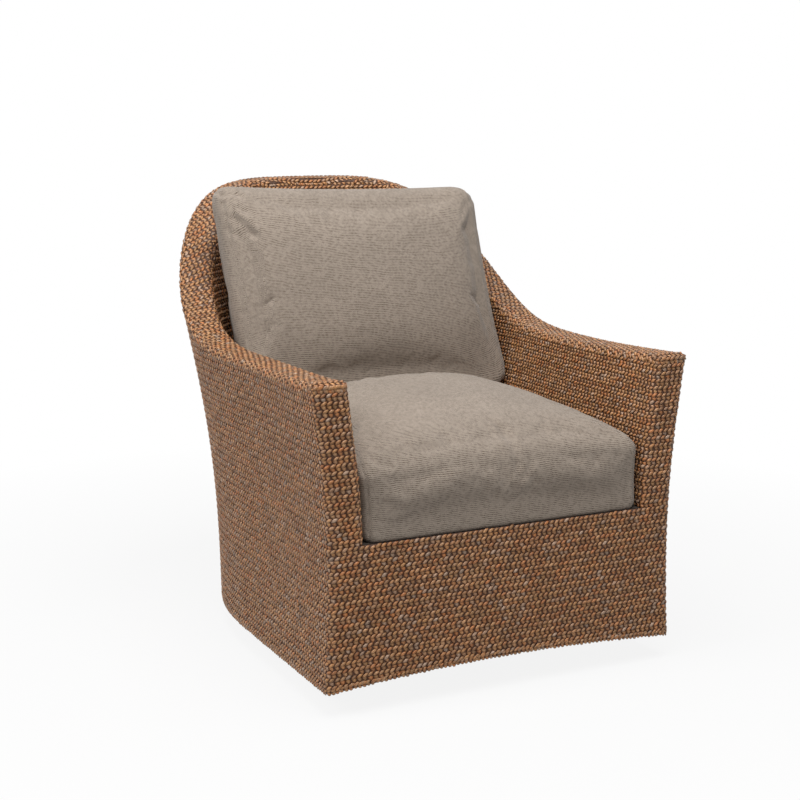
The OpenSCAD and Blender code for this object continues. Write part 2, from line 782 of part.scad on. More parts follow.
module ribs(run, stations)
    for (i = stations)
        let (t = run[i])
            wall_piece([t - along(rib_t / 2), t + along(rib_t / 2)],
                       [0, foot_lift + board_t + fit], [1, -rib_drop], rib_d0, rib_d1, rib_rows);

module side_ribs_right() color("burlywood") ribs(side_run, side_rib_stations);

module side_ribs_left() mirror([1, 0, 0]) side_ribs_right();

module back_ribs() color("burlywood") ribs(back_run, back_rib_stations);

module arm_board_right()
    color("burlywood")
        wall_piece(board_run, [1, -board_drop - board_t], [1, -board_drop], edge_r, wall_t - edge_r);

module arm_board_left() mirror([1, 0, 0]) arm_board_right();

module back_board()
    color("burlywood")
        wall_piece(back_run, [1, -board_drop - board_t], [1, -board_drop], edge_r, wall_t - edge_r);

// Woven skins over the frame, outside and inside
module outer_side_right()
    color("peru")
        ridged_skin(side_run);

module outer_side_left() mirror([1, 0, 0]) outer_side_right();

module outer_back()
    color("peru")
        ridged_skin(back_run);

module inner_side_right()
    color("peru")
        wall_piece(inner_skin_run, [0, apron_h + fit], [1, -skin_drop],
                   wall_t - weave_t, wall_t, weave_rows);

module inner_side_left() mirror([1, 0, 0]) inner_side_right();

module inner_back()
    color("peru")
        wall_piece(back_run, [0, apron_h + fit], [1, -skin_drop], wall_t - weave_t, wall_t, weave_rows);

// Woven edge wraps: a channel with rounded edges, up the arm front and along the rim
function wrap_corner(r) = [for (a = [0, 45, 90]) [edge_r - r * cos(a), edge_r - r * sin(a)]];
function flip_path(path) = [for (i = [len(path) - 1:-1:0]) [wall_t - path[i][0], path[i][1]]];
function wrap_path(r) = let (s = [[edge_r - r, wrap_lap], each wrap_corner(r)])
    [each s, each flip_path(s)];
function front_row(z, path) = [for (p = path) let (q = wall(0, z, p[0])) [q.x, front_y + p[1], q.z]];
function mitre_row(path) = [for (p = path)
    let (q = wall(0, rim_z(0) - p[1], p[0])) [q.x, front_y + p[1], q.z]];
function rim_row(t, path) = [for (p = path) wall(t, rim_z(t) - p[1], p[0])];
function arm_wrap_rows(path) = [
    for (z = steps(deck_top + fit, rim_z(0) - wrap_lap - fit, 9)) front_row(z, path),
    mitre_row(path),
    for (t = inner_side_run) rim_row(t, path)];

module arm_wrap_right()
    color("peru")
        between(arm_wrap_rows(wrap_path(edge_r)), arm_wrap_rows(wrap_path(edge_r - weave_t)));

module arm_wrap_left() mirror([1, 0, 0]) arm_wrap_right();

module back_wrap()
    color("peru")
        between([for (t = back_run) rim_row(t, wrap_path(edge_r))],
                [for (t = back_run) rim_row(t, wrap_path(edge_r - weave_t))]);

// Front panel: woven skin from side to side below the seat, arched along its bottom
function apron_path(r) = let (s = [[edge_r - r, wrap_lap], each wrap_corner(r)]) s;
function apron_low(x) = floor_gap + apron_arch * (1 - pow(limit(2 * abs(x) / foot_w), 2));
function apron_point(side, p, s) = let (
        x = wall(0, floor_gap, p[0]).x,
        z = mix(apron_low(x), deck_top, s),
        q = wall(0, z, p[0]))
    [q.x * side, front_y + p[1], z];
function apron_mid(x_share, depth, s) = let (
        x = wall(0, floor_gap, edge_r).x * x_share,
        z = mix(apron_low(x), deck_top, s),
        q = wall(0, z, edge_r))
    [q.x * x_share, front_y + depth, z];
function apron_row(r, s) = let (path = apron_path(r))
    [for (p = path) apron_point(-1, p, s),
     for (x_share = steps(-0.8, 0.8, 8)) apron_mid(x_share, edge_r - r, s),
     for (i = [len(path) - 1:-1:0]) apron_point(1, path[i], s)];

panel_steps = 2 * round(apron_h / ridge_h);

module front_panel()
    color("peru")
        between([for (k = [0:panel_steps]) apron_row(edge_r - weave_t, k / panel_steps)],
                [for (k = [0:panel_steps])
                    apron_row(edge_r - (k % 2 == 1 ? 0 : groove_d), k / panel_steps)]);

// Seat cushion: crowned top, rounded front, sides that follow the shell
seat_z = deck_top + fit;
seat_front_depth = 3;
seat_corner_r = 24;
seat_corner_drop = 24;
seat_fall_l = 42;
seat_round = 34;
seat_run = steps(along(seat_front_depth + seat_corner_r), 2 - along(seat_front_depth + seat_corner_r), 34);
function waist_x(z) = min([for (t = steps(0, bend_share, 12)) wall(t, z, wall_t + soft_fit).x]);
function seat_side(z) = let (widest = waist_x(z)) [for (t = seat_run)
    let (p = wall(t, z, wall_t + soft_fit))
    [half(t) < bend_share / 2 ? p.x : max(-widest, min(widest, p.x)), p.y]];
function seat_front(z) = let (
        x = wall(0, z, wall_t + soft_fit).x,
        y = front_y + seat_front_depth)
    [for (a = [30, 60]) [-x + seat_corner_r * (1 - cos(a)), y + seat_corner_r * (1 - sin(a))],
     for (s = steps(-1, 1, 8)) [s * (x - seat_corner_r), y],
     for (a = [60, 30]) [x - seat_corner_r * (1 - cos(a)), y + seat_corner_r * (1 - sin(a))]];
seat_centre = [0, front_y + seat_peak_depth];
function seat_outline(z) = [each seat_side(z), each seat_front(z)];
// Rows of the form: inset from the side, then height above or below the side's edge
seat_low_rows = [[0.5, 0], [0.9, 0], [0.985, 0.02], [1, 0.1]];
seat_side_shares = [0.3, 0.5, 0.7];
seat_turn_angles = [0, 25, 50, 75];
seat_top_shares = [0.84, 0.76, 0.68, 0.6, 0.52, 0.45, 0.38, 0.31, 0.24, 0.12];
function seat_press(y) = ease(limit((back_front_depth - back_round / 2 + front_y - y) / seat_fall_l));
function corner_fall(p) = seat_corner_drop * pow(limit(2 * abs(p.x) / front_rail_l), 3)
    * pow(limit(1 - (p.y - front_y) / (seat_corner_r * 5)), 2);
function seat_top_z(p) = let (press = seat_press(p.y))
    seat_z + seat_edge_t + seat_crown * seat_dome(p) * press - 2 * fit * (1 - press) - corner_fall(p);
function toward(p, s) = mix(seat_centre, p, s);
function dome(u, v, power) = (1 - pow(limit(abs(u)), power)) * (1 - pow(limit(abs(v)), power));
seat_half_w = wall(0, seat_z + seat_edge_t, wall_t + soft_fit).x;
seat_back_depth = wall(1, seat_z + seat_edge_t, wall_t + soft_fit).y - front_y;
function seat_dome(p) = let (depth = p.y - front_y)
    dome(p.x / seat_half_w,
         depth > seat_peak_depth ? (depth - seat_peak_depth) / (seat_back_depth - seat_peak_depth)
                                 : (seat_peak_depth - depth) / seat_peak_depth, 2);
function seat_ring(s, z_share) = let (z = seat_z + seat_edge_t * z_share)
    [for (p = seat_outline(z)) let (q = toward(p, s)) [q.x, q.y, z]];
function seat_turn(a) = let (
        z = seat_z + seat_edge_t - seat_round * (1 - sin(a)),
        d = seat_round * (1 - cos(a)))
    [for (p = seat_outline(z)) let (
            s = 1 - d / norm(p - seat_centre),
            q = toward(p, s),
            lift = seat_top_z(q) - seat_z - seat_edge_t)
        [q.x, q.y, z + lift * sin(a)]];
function seat_top(s) = [for (p = seat_outline(seat_z + seat_edge_t))
    let (q = toward(p, s)) [q.x, q.y, seat_top_z(q)]];

module seat_cushion()
    color("tan")
        capped([for (r = seat_low_rows) seat_ring(r[0], r[1]),
                for (s = seat_side_shares) seat_ring(1, s),
                for (a = seat_turn_angles) seat_turn(a),
                for (s = seat_top_shares) seat_top(s)],
               [seat_centre.x, seat_centre.y, seat_z],
               [seat_centre.x, seat_centre.y, seat_z + seat_edge_t + seat_crown]);

// Back cushion: crowned front, sides drawn in, and a back that beds into the shell
back_z = seat_z + seat_edge_t + fit;
back_corner_r = 42;
back_draw = 7;
back_round = 30;
back_bed_fit = 2;
back_side_steps = 8;
function back_corner(sx, sz, a) = [sx * (back_cushion_w / 2 - back_corner_r * (1 - cos(a))),
                                   sz * (back_cushion_h / 2 - back_corner_r * (1 - sin(a)))];
function drawn(p) = [p.x * (1 - 2 * back_draw / back_cushion_w * (1 - pow(2 * p.y / back_cushion_h, 2))),
                     p.y > 0 ? p.y - back_draw * (1 - pow(2 * p.x / back_cushion_w, 2)) : p.y];
straight_x = back_cushion_w / 2 - back_corner_r;
straight_z = back_cushion_h / 2 - back_corner_r;
function open_steps(a, b, n) = [for (i = [1:n - 1]) mix(a, b, i / n)];
back_outline = [for (p = [
        for (a = [0, 30, 60, 90]) back_corner(1, -1, a),
        for (x = open_steps(straight_x, -straight_x, back_side_steps)) [x, -back_cushion_h / 2],
        for (a = [90, 60, 30, 0]) back_corner(-1, -1, a),
        for (z = open_steps(-straight_z, straight_z, back_side_steps)) [-back_cushion_w / 2, z],
        for (a = [0, 30, 60, 90]) back_corner(-1, 1, a),
        for (x = open_steps(-straight_x, straight_x, back_side_steps)) [x, back_cushion_h / 2],
        for (a = [90, 60, 30, 0]) back_corner(1, 1, a),
        for (z = open_steps(straight_z, -straight_z, back_side_steps)) [back_cushion_w / 2, z]]) drawn(p)];
function back_height(p) = back_z + back_cushion_h / 2 + p.y;
function back_front_y(p) = front_y + back_front_depth + (back_height(p) - back_z) * tan(back_lean);
function bed_line(z) = [for (t = steps(1, 0.4, 24))
    let (q = wall(t, z, wall_t + back_bed_fit)) [q.x, q.y]];
function bed_y(p) = lookup(abs(p.x), bed_line(min(back_height(p), rim_z(1))));
function back_dome(p, power) = dome(2 * p.x / back_cushion_w, 2 * p.y / back_cushion_h, power);
function back_front(s) = [for (p = back_outline) let (q = p * s)
    [q.x, back_front_y(q) - back_crown * back_dome(q, 2), back_height(q)]];
function back_rear(s) = [for (p = back_outline) let (
        q = p * s,
        edge = back_front_y(q) + back_edge_t - back_round / 2)
    [q.x, min(mix(edge, bed_y(q), back_dome(q, 3)), bed_y(q)), back_height(q)]];
back_front_shares = [0.12, 0.3, 0.46, 0.62, 0.76, 0.87];
back_rear_shares = [0.93, 0.82, 0.68, 0.5, 0.3, 0.12];
function back_side(a) = [for (p = back_outline) let (
        s = 1 - back_round * (1 - sin(a)) / norm(p),
        q = p * s)
    [q.x, back_front_y(q) + back_round * (1 - cos(a)) - back_crown * back_dome(q, 2),
     back_height(q)]];

module back_cushion()
    color("tan")
        capped([for (s = back_front_shares) back_front(s),
                for (a = [20, 45, 70, 90]) back_side(a),
                [for (p = back_outline) [p.x, back_front_y(p) + back_edge_t / 2, back_height(p)]],
                [for (p = back_outline) let (q = p * 0.985)
                    [q.x, min(back_front_y(q) + back_edge_t - back_round, bed_y(q)), back_height(q)]],
                for (s = back_rear_shares) back_rear(s)],
               [0, back_front_y([0, 0]) - back_crown, back_height([0, 0])],
               [0, bed_y([0, 0]), back_height([0, 0])]);

base_ring();
base_cross();
floor_glides();
lower_race();
kingpin();
kingpin_washer();
kingpin_nut();
ball_cage();
bearing_balls();
upper_race();
swivel_plate();
pivot_bracket_left();
pivot_bracket_right();
bracket_rivets();
lower_spring_seats();
front_springs();
rear_springs();
pivot_pins();
pin_clips();
rubber_stops();
rocker_arm_left();
rocker_arm_right();
pivot_bushes();
upper_spring_seats();
front_crossplate();
rear_crossplate();
mounting_bolts();
mounting_nuts();
front_bearer();
rear_bearer();
seat_rail_left();
seat_rail_right();
seat_rail_front();
seat_rail_back();
foot_board_left();
foot_board_right();
foot_board_front();
foot_board_back();
front_posts();
side_ribs_left();
side_ribs_right();
back_ribs();
arm_board_left();
arm_board_right();
back_board();
seat_webbing();
deck_cloth();
outer_side_left();
outer_side_right();
outer_back();
inner_side_left();
inner_side_right();
inner_back();
arm_wrap_left();
arm_wrap_right();
back_wrap();
front_panel();
seat_cushion();
back_cushion();
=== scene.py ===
import itertools
from math import asin, atan2, cos, pi, radians, sin

import bmesh
import bpy
import numpy as np
from mathutils import Matrix, Vector, noise


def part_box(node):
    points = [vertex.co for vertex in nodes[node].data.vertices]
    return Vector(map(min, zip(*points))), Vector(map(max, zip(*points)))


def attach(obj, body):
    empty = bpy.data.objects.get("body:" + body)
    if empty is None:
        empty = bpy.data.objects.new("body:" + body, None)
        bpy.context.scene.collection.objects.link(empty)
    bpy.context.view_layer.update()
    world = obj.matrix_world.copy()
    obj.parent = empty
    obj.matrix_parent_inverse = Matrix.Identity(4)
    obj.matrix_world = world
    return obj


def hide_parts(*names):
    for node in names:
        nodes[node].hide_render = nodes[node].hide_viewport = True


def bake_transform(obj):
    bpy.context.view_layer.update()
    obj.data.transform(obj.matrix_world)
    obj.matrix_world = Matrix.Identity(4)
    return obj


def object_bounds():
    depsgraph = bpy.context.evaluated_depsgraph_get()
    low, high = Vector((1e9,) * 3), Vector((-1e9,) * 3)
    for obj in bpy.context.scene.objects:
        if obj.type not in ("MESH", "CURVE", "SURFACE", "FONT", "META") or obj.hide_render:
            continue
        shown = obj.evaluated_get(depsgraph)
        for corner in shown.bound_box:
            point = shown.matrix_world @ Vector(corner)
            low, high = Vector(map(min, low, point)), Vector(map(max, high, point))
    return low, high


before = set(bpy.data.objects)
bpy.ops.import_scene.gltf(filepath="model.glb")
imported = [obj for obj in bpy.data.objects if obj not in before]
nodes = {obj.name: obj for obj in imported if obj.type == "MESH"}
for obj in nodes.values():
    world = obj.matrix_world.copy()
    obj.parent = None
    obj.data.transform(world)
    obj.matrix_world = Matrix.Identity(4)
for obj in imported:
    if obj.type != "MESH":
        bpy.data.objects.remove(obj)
cad_low, cad_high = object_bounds()

# Base: a floor ring of bent steel tube with a welded cross, powder-coated black. It stands
# still on six moulded nylon glides pressed on under the ring.
def feed(tree, node, wires):
    """Links a node's inputs, or sets their plain values."""
    for key, value in wires.items():
        if isinstance(value, bpy.types.NodeSocket):
            tree.links.new(value, node.inputs[key])
        else:
            node.inputs[key].default_value = value


def add(tree, kind, wires, **settings):
    """A node with its settings and its inputs."""
    node = tree.nodes.new("ShaderNode" + kind)
    for key, value in settings.items():
        setattr(node, key, value)
    feed(tree, node, wires)
    return node


def ramp(tree, value, *stops):
    """Colour or mask along stops of a position and a colour or grey level."""
    node = tree.nodes.new("ShaderNodeValToRGB")
    tree.links.new(value, node.inputs["Fac"])
    points = node.color_ramp.elements
    while len(points) < len(stops):
        points.new(0.5)
    for point, (position, colour) in zip(points, stops):
        point.position = position
        point.color = (*colour, 1) if isinstance(colour, tuple) else (colour, colour, colour, 1)
    return node.outputs["Color"]


def layered(tree, colour, *layers):
    """A colour multiplied by further colours or masks, one after the other."""
    for layer in layers:
        colour = add(tree, "Mix", {0: 1.0, 6: colour, 7: layer}, data_type="RGBA",
                     blend_type="MULTIPLY").outputs[2]
    return colour


def finish(name, **values):
    """A new finish with its tree and its shader, and the shader's plain values set."""
    material = bpy.data.materials.new(name)
    material.use_nodes = True
    tree = material.node_tree
    shader = tree.nodes["Principled BSDF"]
    for key, value in values.items():
        shader.inputs[key.replace("_", " ")].default_value = value
    return material, tree, shader


# Fine uneven grain at a size: a mask, and a normal that it dents
GRAIN = bpy.data.node_groups.new("grain", "ShaderNodeTree")
for title, way, kind in (("Vector", "INPUT", "Vector"), ("Scale", "INPUT", "Float"),
                         ("Dent", "INPUT", "Float"), ("Mask", "OUTPUT", "Float"),
                         ("Normal", "OUTPUT", "Vector")):
    GRAIN.interface.new_socket(title, in_out=way, socket_type="NodeSocket" + kind)
start, end = GRAIN.nodes.new("NodeGroupInput"), GRAIN.nodes.new("NodeGroupOutput")
speck = add(GRAIN, "TexNoise", {"Vector": start.outputs["Vector"],
                                "Scale": start.outputs["Scale"], "Detail": 3.0})
dent = add(GRAIN, "Bump", {"Height": speck.outputs["Fac"], "Distance": 0.0006,
                           "Strength": start.outputs["Dent"]})
feed(GRAIN, end, {"Mask": speck.outputs["Fac"], "Normal": dent.outputs[0]})


def grained(name, dark, light, scale, dent, stretch=(1, 1, 1), rough=(0.4, 0.6), blotch=6.0,
            **values):
    """A finish with a fine grain between two tones, and slow blotches in tone and shine."""
    material, tree, shader = finish(name, **values)
    place = add(tree, "TexCoord", {}).outputs["Object"]
    drawn = add(tree, "Mapping", {"Vector": place, "Scale": stretch}).outputs[0]
    grain = add(tree, "Group", {}, node_tree=GRAIN)
    feed(tree, grain, {"Vector": drawn, "Scale": scale, "Dent": dent})
    slow = add(tree, "TexNoise", {"Vector": drawn, "Scale": blotch, "Detail": 2.0})
    slow = slow.outputs["Fac"]
    colour = layered(tree, ramp(tree, grain.outputs["Mask"], (0.35, dark), (0.65, light)),
                     ramp(tree, slow, (0.3, 0.82), (0.7, 1.08)))
    feed(tree, shader, {"Base Color": colour, "Normal": grain.outputs["Normal"],
                        "Roughness": ramp(tree, slow, (0.3, rough[0]), (0.7, rough[1]))})
    return material


def dress(material, *names):
    """Gives plain pieces their finish."""
    for name in names:
        nodes[name].data.materials.clear()
        nodes[name].data.materials.append(material)


POWDER_COAT = grained("black_powder_coat", (0.012, 0.012, 0.013), (0.026, 0.026, 0.028), 900, 0.25,
                      rough=(0.38, 0.52))
dress(POWDER_COAT, "base_ring", "base_cross")
dress(grained("black_nylon", (0.016, 0.016, 0.017), (0.030, 0.030, 0.031), 700, 0.12,
              rough=(0.42, 0.58)), "floor_glides")

# Swivel bearing: steel balls in a brass cage between two pressed, zinc-plated races. A bolt
# with a washer and a nut holds them together through the middle of the cross.
ZINC = grained("zinc_plate", (0.50, 0.52, 0.53), (0.66, 0.67, 0.66), 420, 0.06,
               rough=(0.24, 0.40), Metallic=1.0)
dress(ZINC, "lower_race", "upper_race", "bearing_balls", "kingpin", "kingpin_washer", "kingpin_nut")
dress(grained("brass_cage", (0.60, 0.40, 0.14), (0.74, 0.52, 0.22), 300, 0.08,
              rough=(0.28, 0.46), Metallic=1.0), "ball_cage")

# Swivel plate: pressed grey steel that turns on the bearing, with a folded bracket riveted on
# at each side. A zinc-plated pin turns in the nylon bushes of each bracket, kept in by a clip.
GREY_STEEL = grained("grey_steel", (0.17, 0.175, 0.18), (0.24, 0.245, 0.25), 320, 0.10,
                     rough=(0.36, 0.55), Metallic=0.85)
dress(GREY_STEEL, "swivel_plate", "pivot_bracket_left", "pivot_bracket_right")
dress(ZINC, "bracket_rivets", "pivot_pins", "pin_clips")
dress(grained("white_nylon", (0.66, 0.64, 0.58), (0.74, 0.72, 0.66), 500, 0.06,
              rough=(0.36, 0.48)), "pivot_bushes")

# Rocking frame: two arms and two crossplates of grey steel plate, hung on the pivot pins. Four
# zinc-plated bolts with nuts fix it up to the wooden bearers.
dress(GREY_STEEL, "rocker_arm_left", "rocker_arm_right", "front_crossplate", "rear_crossplate")
dress(ZINC, "mounting_bolts", "mounting_nuts")

# Rocker springs: four coils of oiled steel wire between black steel seats, with four rubber
# stops that end the rocking. The lower end of each coil stands in its seat on the swivel
# plate, and its upper end in its seat under the rocking frame, which tilts as the chair rocks.
dress(POWDER_COAT, "lower_spring_seats", "upper_spring_seats")
dress(grained("black_rubber", (0.012, 0.012, 0.012), (0.030, 0.029, 0.028), 500, 0.25,
              rough=(0.72, 0.86)), "rubber_stops")


def new_object(name, data):
    """A new object in the scene."""
    thing = bpy.data.objects.new(name, data)
    bpy.context.scene.collection.objects.link(thing)
    return thing


WIRE_D = 0.005
SPRING_D = 0.044
SPRING_X = 0.070
SPRING_CURLS = 6
CURL_STEPS = 20
WIRE_SIDES = 10

SPRING_STEEL = grained("oiled_spring_steel", (0.045, 0.046, 0.050), (0.085, 0.086, 0.090), 260,
                       0.10, rough=(0.25, 0.42), Metallic=0.8)


def springs(name, node):
    """A pair of straight coils side by side, in the place of a node."""
    low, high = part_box(node)
    y = (low[1] + high[1]) / 2
    bm = bmesh.new()
    for x in (-SPRING_X, SPRING_X):
        start = Vector((x + SPRING_D / 2, y, low[2] + WIRE_D / 2))
        ring = bmesh.ops.create_circle(bm, segments=WIRE_SIDES, radius=WIRE_D / 2,
                                       cap_ends=True)["verts"]
        bmesh.ops.rotate(bm, verts=ring, cent=(0, 0, 0), matrix=Matrix.Rotation(pi / 2, 3, "X"))
        bmesh.ops.translate(bm, verts=ring, vec=start)
        steps = SPRING_CURLS * CURL_STEPS
        rise = (high[2] - low[2] - WIRE_D) / steps
        bmesh.ops.spin(bm, geom=ring + [e for e in bm.edges if e.verts[0] in ring]
                       + [f for f in bm.faces if f.verts[0] in ring],
                       cent=(x, y, 0), axis=(0, 0, 1), dvec=(0, 0, rise),
                       angle=2 * pi * SPRING_CURLS, steps=steps, use_merge=False,
                       use_duplicate=False)
    bmesh.ops.recalc_face_normals(bm, faces=bm.faces)
    piece = new_object(name, bpy.data.meshes.new(name))
    bm.to_mesh(piece.data)
    bm.free()
    piece.data.shade_smooth()
    piece.data.materials.append(SPRING_STEEL)
    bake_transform(piece)
    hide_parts(node)


springs("front_coils", "front_springs")
springs("rear_coils", "rear_springs")

# Wooden frame: sawn hardwood boards, glued and screwed, with the grain along each board. The
# bearers carry the seat rails, and posts, ribs and bent boards stand inside the wall.
BOARD_TONES = (0.30, 0.175, 0.085), (0.46, 0.300, 0.165)
for direction, stretch, boards in (
        ("across", (2, 40, 40), ("front_bearer", "rear_bearer", "seat_rail_front",
                                 "foot_board_front")),
        ("upright", (40, 40, 2), ("front_posts", "side_ribs_left", "side_ribs_right",
                                  "back_ribs")),
        ("lengthwise", (40, 2, 40), ("seat_rail_left", "seat_rail_right", "foot_board_left",
                                     "foot_board_right", "arm_board_left", "arm_board_right")),
        ("bent", (4, 12, 60), ("seat_rail_back", "foot_board_back", "back_board"))):
    dress(grained("wood_" + direction, *BOARD_TONES, 3.0, 0.30, stretch, (0.55, 0.72), 0.6),
          *boards)

# Deck: striped elastic straps stretched over the seat rails, and the dark woven cloth over
# them that the seat cushion lies on.
dress(grained("strap_weave", (0.05, 0.05, 0.055), (0.20, 0.19, 0.18), 1.0, 0.6,
              (260, 260, 260), (0.75, 0.88), 0.05), "seat_webbing")
dress(grained("deck_weave", (0.020, 0.014, 0.010), (0.048, 0.036, 0.027), 1.0, 0.5,
              (420, 420, 420), (0.82, 0.92), 0.02), "deck_cloth")

# Shell: a barrel wall of plaited resin over the wooden frame. It leans out and back, and its
# rim runs level over the arms and sweeps up round the back. A place in the wall is the share
# t of its run from the arm front (0) to the middle of the back (1), a height and a depth.
FRONT = cad_low.y
FLOOR_GAP = 0.045
SHELL_W = 0.800
ARM_FRONT_W = 0.788
FOOT_W = 0.740
SHELL_DEPTH = 0.992
FOOT_DEPTH = 0.825
SHOULDER_DEPTH = 0.595
FOOT_BEND_DEPTH = 0.400
SHELL_H = 0.871
ARM_H = 0.565
ARM_DIP = 0.009
ARM_WAIST = 0.009
DIP_DEPTH = 0.320
RISE_DEPTH = 0.345
WALL_T = 0.070
SIDE_BOW = 0.018
BACK_BOW = 0.046
EDGE_R = 0.012
APRON_H = 0.268
APRON_ARCH = 0.017
DECK_TOP = FLOOR_GAP + APRON_H
BEND_SHARE = 0.45
CORNER_SHARE = 0.62
RUN_L = SHOULDER_DEPTH / BEND_SHARE
FOOT_BEND_SHARE = FOOT_BEND_DEPTH / RUN_L
# How full the curves are: the rim's and the foot's corners, the back, and the sweep of the rim
RIM_CORNER, FOOT_CORNER, BACK_CURVE = 0.96, 0.63, 0.87
SWEEP_START, SWEEP_CREST = 1.72, 2.13
SHARE_STEP = 0.004
MIRROR = np.array([-1, 1, 1])


def ease(s):
    """A share from 0 to 1 with a soft start and end."""
    return s * s * (3 - 2 * s)


def mix(a, b, s):
    """The value at the share s of the way from a to b."""
    return a + (b - a) * s


def turn(t, start):
    """The angle of the share t in a quarter turn that ends at the middle of the back."""
    return pi / 2 * np.clip((t - start) / (1 - start), 0, 1)


def rim_plan(t):
    """Plan of the rim on the right half: x and y."""
    s = np.clip(t / BEND_SHARE, 0, 1)
    arm_x = mix(ARM_FRONT_W, SHELL_W, ease(s)) / 2 - ARM_WAIST * np.sin(pi * s) ** 2
    a = turn(t, BEND_SHARE)
    back_x = SHELL_W / 2 * np.cos(a).clip(0) ** RIM_CORNER
    back_y = mix(SHOULDER_DEPTH, SHELL_DEPTH, np.sin(a) ** BACK_CURVE)
    on_arm = t < BEND_SHARE
    return np.where(on_arm, arm_x, back_x), FRONT + np.where(on_arm, SHOULDER_DEPTH * s, back_y)


def foot_plan(t):
    """Plan of the bottom edge on the right half: x and y."""
    a = turn(t, FOOT_BEND_SHARE)
    straight = t < FOOT_BEND_SHARE
    back_y = mix(FOOT_BEND_DEPTH, FOOT_DEPTH, np.sin(a) ** BACK_CURVE)
    x = np.where(straight, FOOT_W / 2, FOOT_W / 2 * np.cos(a).clip(0) ** FOOT_CORNER)
    y = np.where(straight, RUN_L * t, back_y)
    return x, FRONT + y


def rim_height(t):
    """Height of the rim: a small dip over the arm, then the sweep up the back."""
    depth = rim_plan(t)[1] - FRONT
    lift = np.clip((depth - RISE_DEPTH) / (SHELL_DEPTH - RISE_DEPTH), 0, 1) ** SWEEP_START
    rise = np.sin(pi / 2 * lift) ** SWEEP_CREST
    dip = ARM_DIP * np.sin(pi / 2 * np.minimum(1, depth / DIP_DEPTH))
    return FLOOR_GAP + ARM_H - dip + (SHELL_H - ARM_H + ARM_DIP) * rise


def wall_plan(t, z, d):
    """x and y of points in the right half of the wall, at height z and depth d from outside."""
    low, high = np.clip(t - SHARE_STEP, 0, 1), np.clip(t + SHARE_STEP, 0, 1)
    ahead = [(a + b) / 2 for a, b in zip(rim_plan(high), foot_plan(high))]
    behind = [(a + b) / 2 for a, b in zip(rim_plan(low), foot_plan(low))]
    dx, dy = ahead[0] - behind[0], ahead[1] - behind[1]
    size = np.hypot(dx, dy)
    nx = np.where(t <= 0, -1, np.where(t >= 1, 0, -dy / size))
    ny = np.where(t <= 0, 0, np.where(t >= 1, -1, dx / size))
    v = np.clip((z - FLOOR_GAP) / (rim_height(t) - FLOOR_GAP), 0, 1)
    move = mix(BACK_BOW, SIDE_BOW, nx * nx) * np.sin(pi * v) + d
    foot_x, foot_y = foot_plan(t)
    rim_x, rim_y = rim_plan(t)
    return mix(foot_x, rim_x, v) + nx * move, mix(foot_y, rim_y, v) + ny * move


def both_halves(line):
    """A line of points that runs on from the right half into its mirror image."""
    return np.concatenate([line, line[-2::-1] * MIRROR])


# Ways along the wall at every height: round the outside, and from the middle of the
# inside round the arm front to the middle of the outside.
SIDE_START = EDGE_R / RUN_L
OUTSIDE = np.linspace(SIDE_START, 1, 200)
CORNER = np.radians(np.linspace(0, 90, 8))
FRONT_COLUMNS = 60


def front_turn(z, middle, angles, r=EDGE_R):
    """x and y round the arm front's outer or inner edge, at the given angles from its side."""
    side = -1 if middle == EDGE_R else 1
    d = middle + side * r * np.cos(angles)
    return wall_plan(0, z, d)[0], FRONT + EDGE_R - r * np.sin(angles)


def joined(z, *stretches):
    """Stretches of a plan joined into one line at the height z."""
    x, y = (np.concatenate([stretch[i] for stretch in stretches]) for i in (0, 1))
    return np.stack([x, y, np.full_like(x, z)], axis=1)


def apron_way(z):
    """From the middle of the front panel round the right side to the middle of the back."""
    edge = front_turn(z, EDGE_R, CORNER[::-1])
    x = np.linspace(0, edge[0][0], FRONT_COLUMNS)[:-1]
    return joined(z, (x, np.full_like(x, FRONT)), edge, wall_plan(OUTSIDE[1:], z, 0))


def wall_way(z):
    """From the middle of the inside, round the right arm front, to the middle of the outside."""
    inner = front_turn(z, WALL_T - EDGE_R, CORNER)
    outer = front_turn(z, EDGE_R, CORNER[::-1])
    x = np.linspace(inner[0][-1], outer[0][0], len(CORNER))[1:-1]
    return joined(z, wall_plan(OUTSIDE[:0:-1], z, WALL_T), inner, (x, np.full_like(x, FRONT)),
                  outer, wall_plan(OUTSIDE[1:], z, 0))


# Strands: leaf-shaped bands of flat resin rush laid by hand in rows of hearts, every tip
# pointing one way. Each row is one line round the wall, and every strand follows it. In a
# heart the lower strand lies under the upper one.
ROW = 0.0139
PITCH = 0.0109
STRAND_H = 0.0030
STRAND_SIDES = 5
STRAND_DIP = 0.0011
# Upper and lower strand of a heart: low end, high end, lean along the row, and width
UPPER_REACH = -0.0004, 0.0078, 0.0070, 0.0116
LOWER_REACH = -0.0080, 0.0006, -0.0028, 0.0118
# Rings of a strand from its low end: place along it, width, thickness
UPPER_RINGS = ((0.10, 0.76, 0.75), (0.48, 1.00, 1.00), (0.88, 0.74, 0.80))
LOWER_RINGS = ((0.16, 0.48, 0.75), (0.52, 0.88, 1.00), (0.88, 1.00, 0.80))
CREST_DROP = 0.0009
UNDER = 0.0008
# How far strands differ: size, turn, lift, shift, and where their row starts
GROWTH = 0.92, 1.1
TWIST = 0.07
LIFT = 0.82, 1.05
LOWER_LIFT = 0.92
SHIFT = 0.0004
PHASE = 0.42, 0.58
SHUFFLE = np.random.RandomState(7)


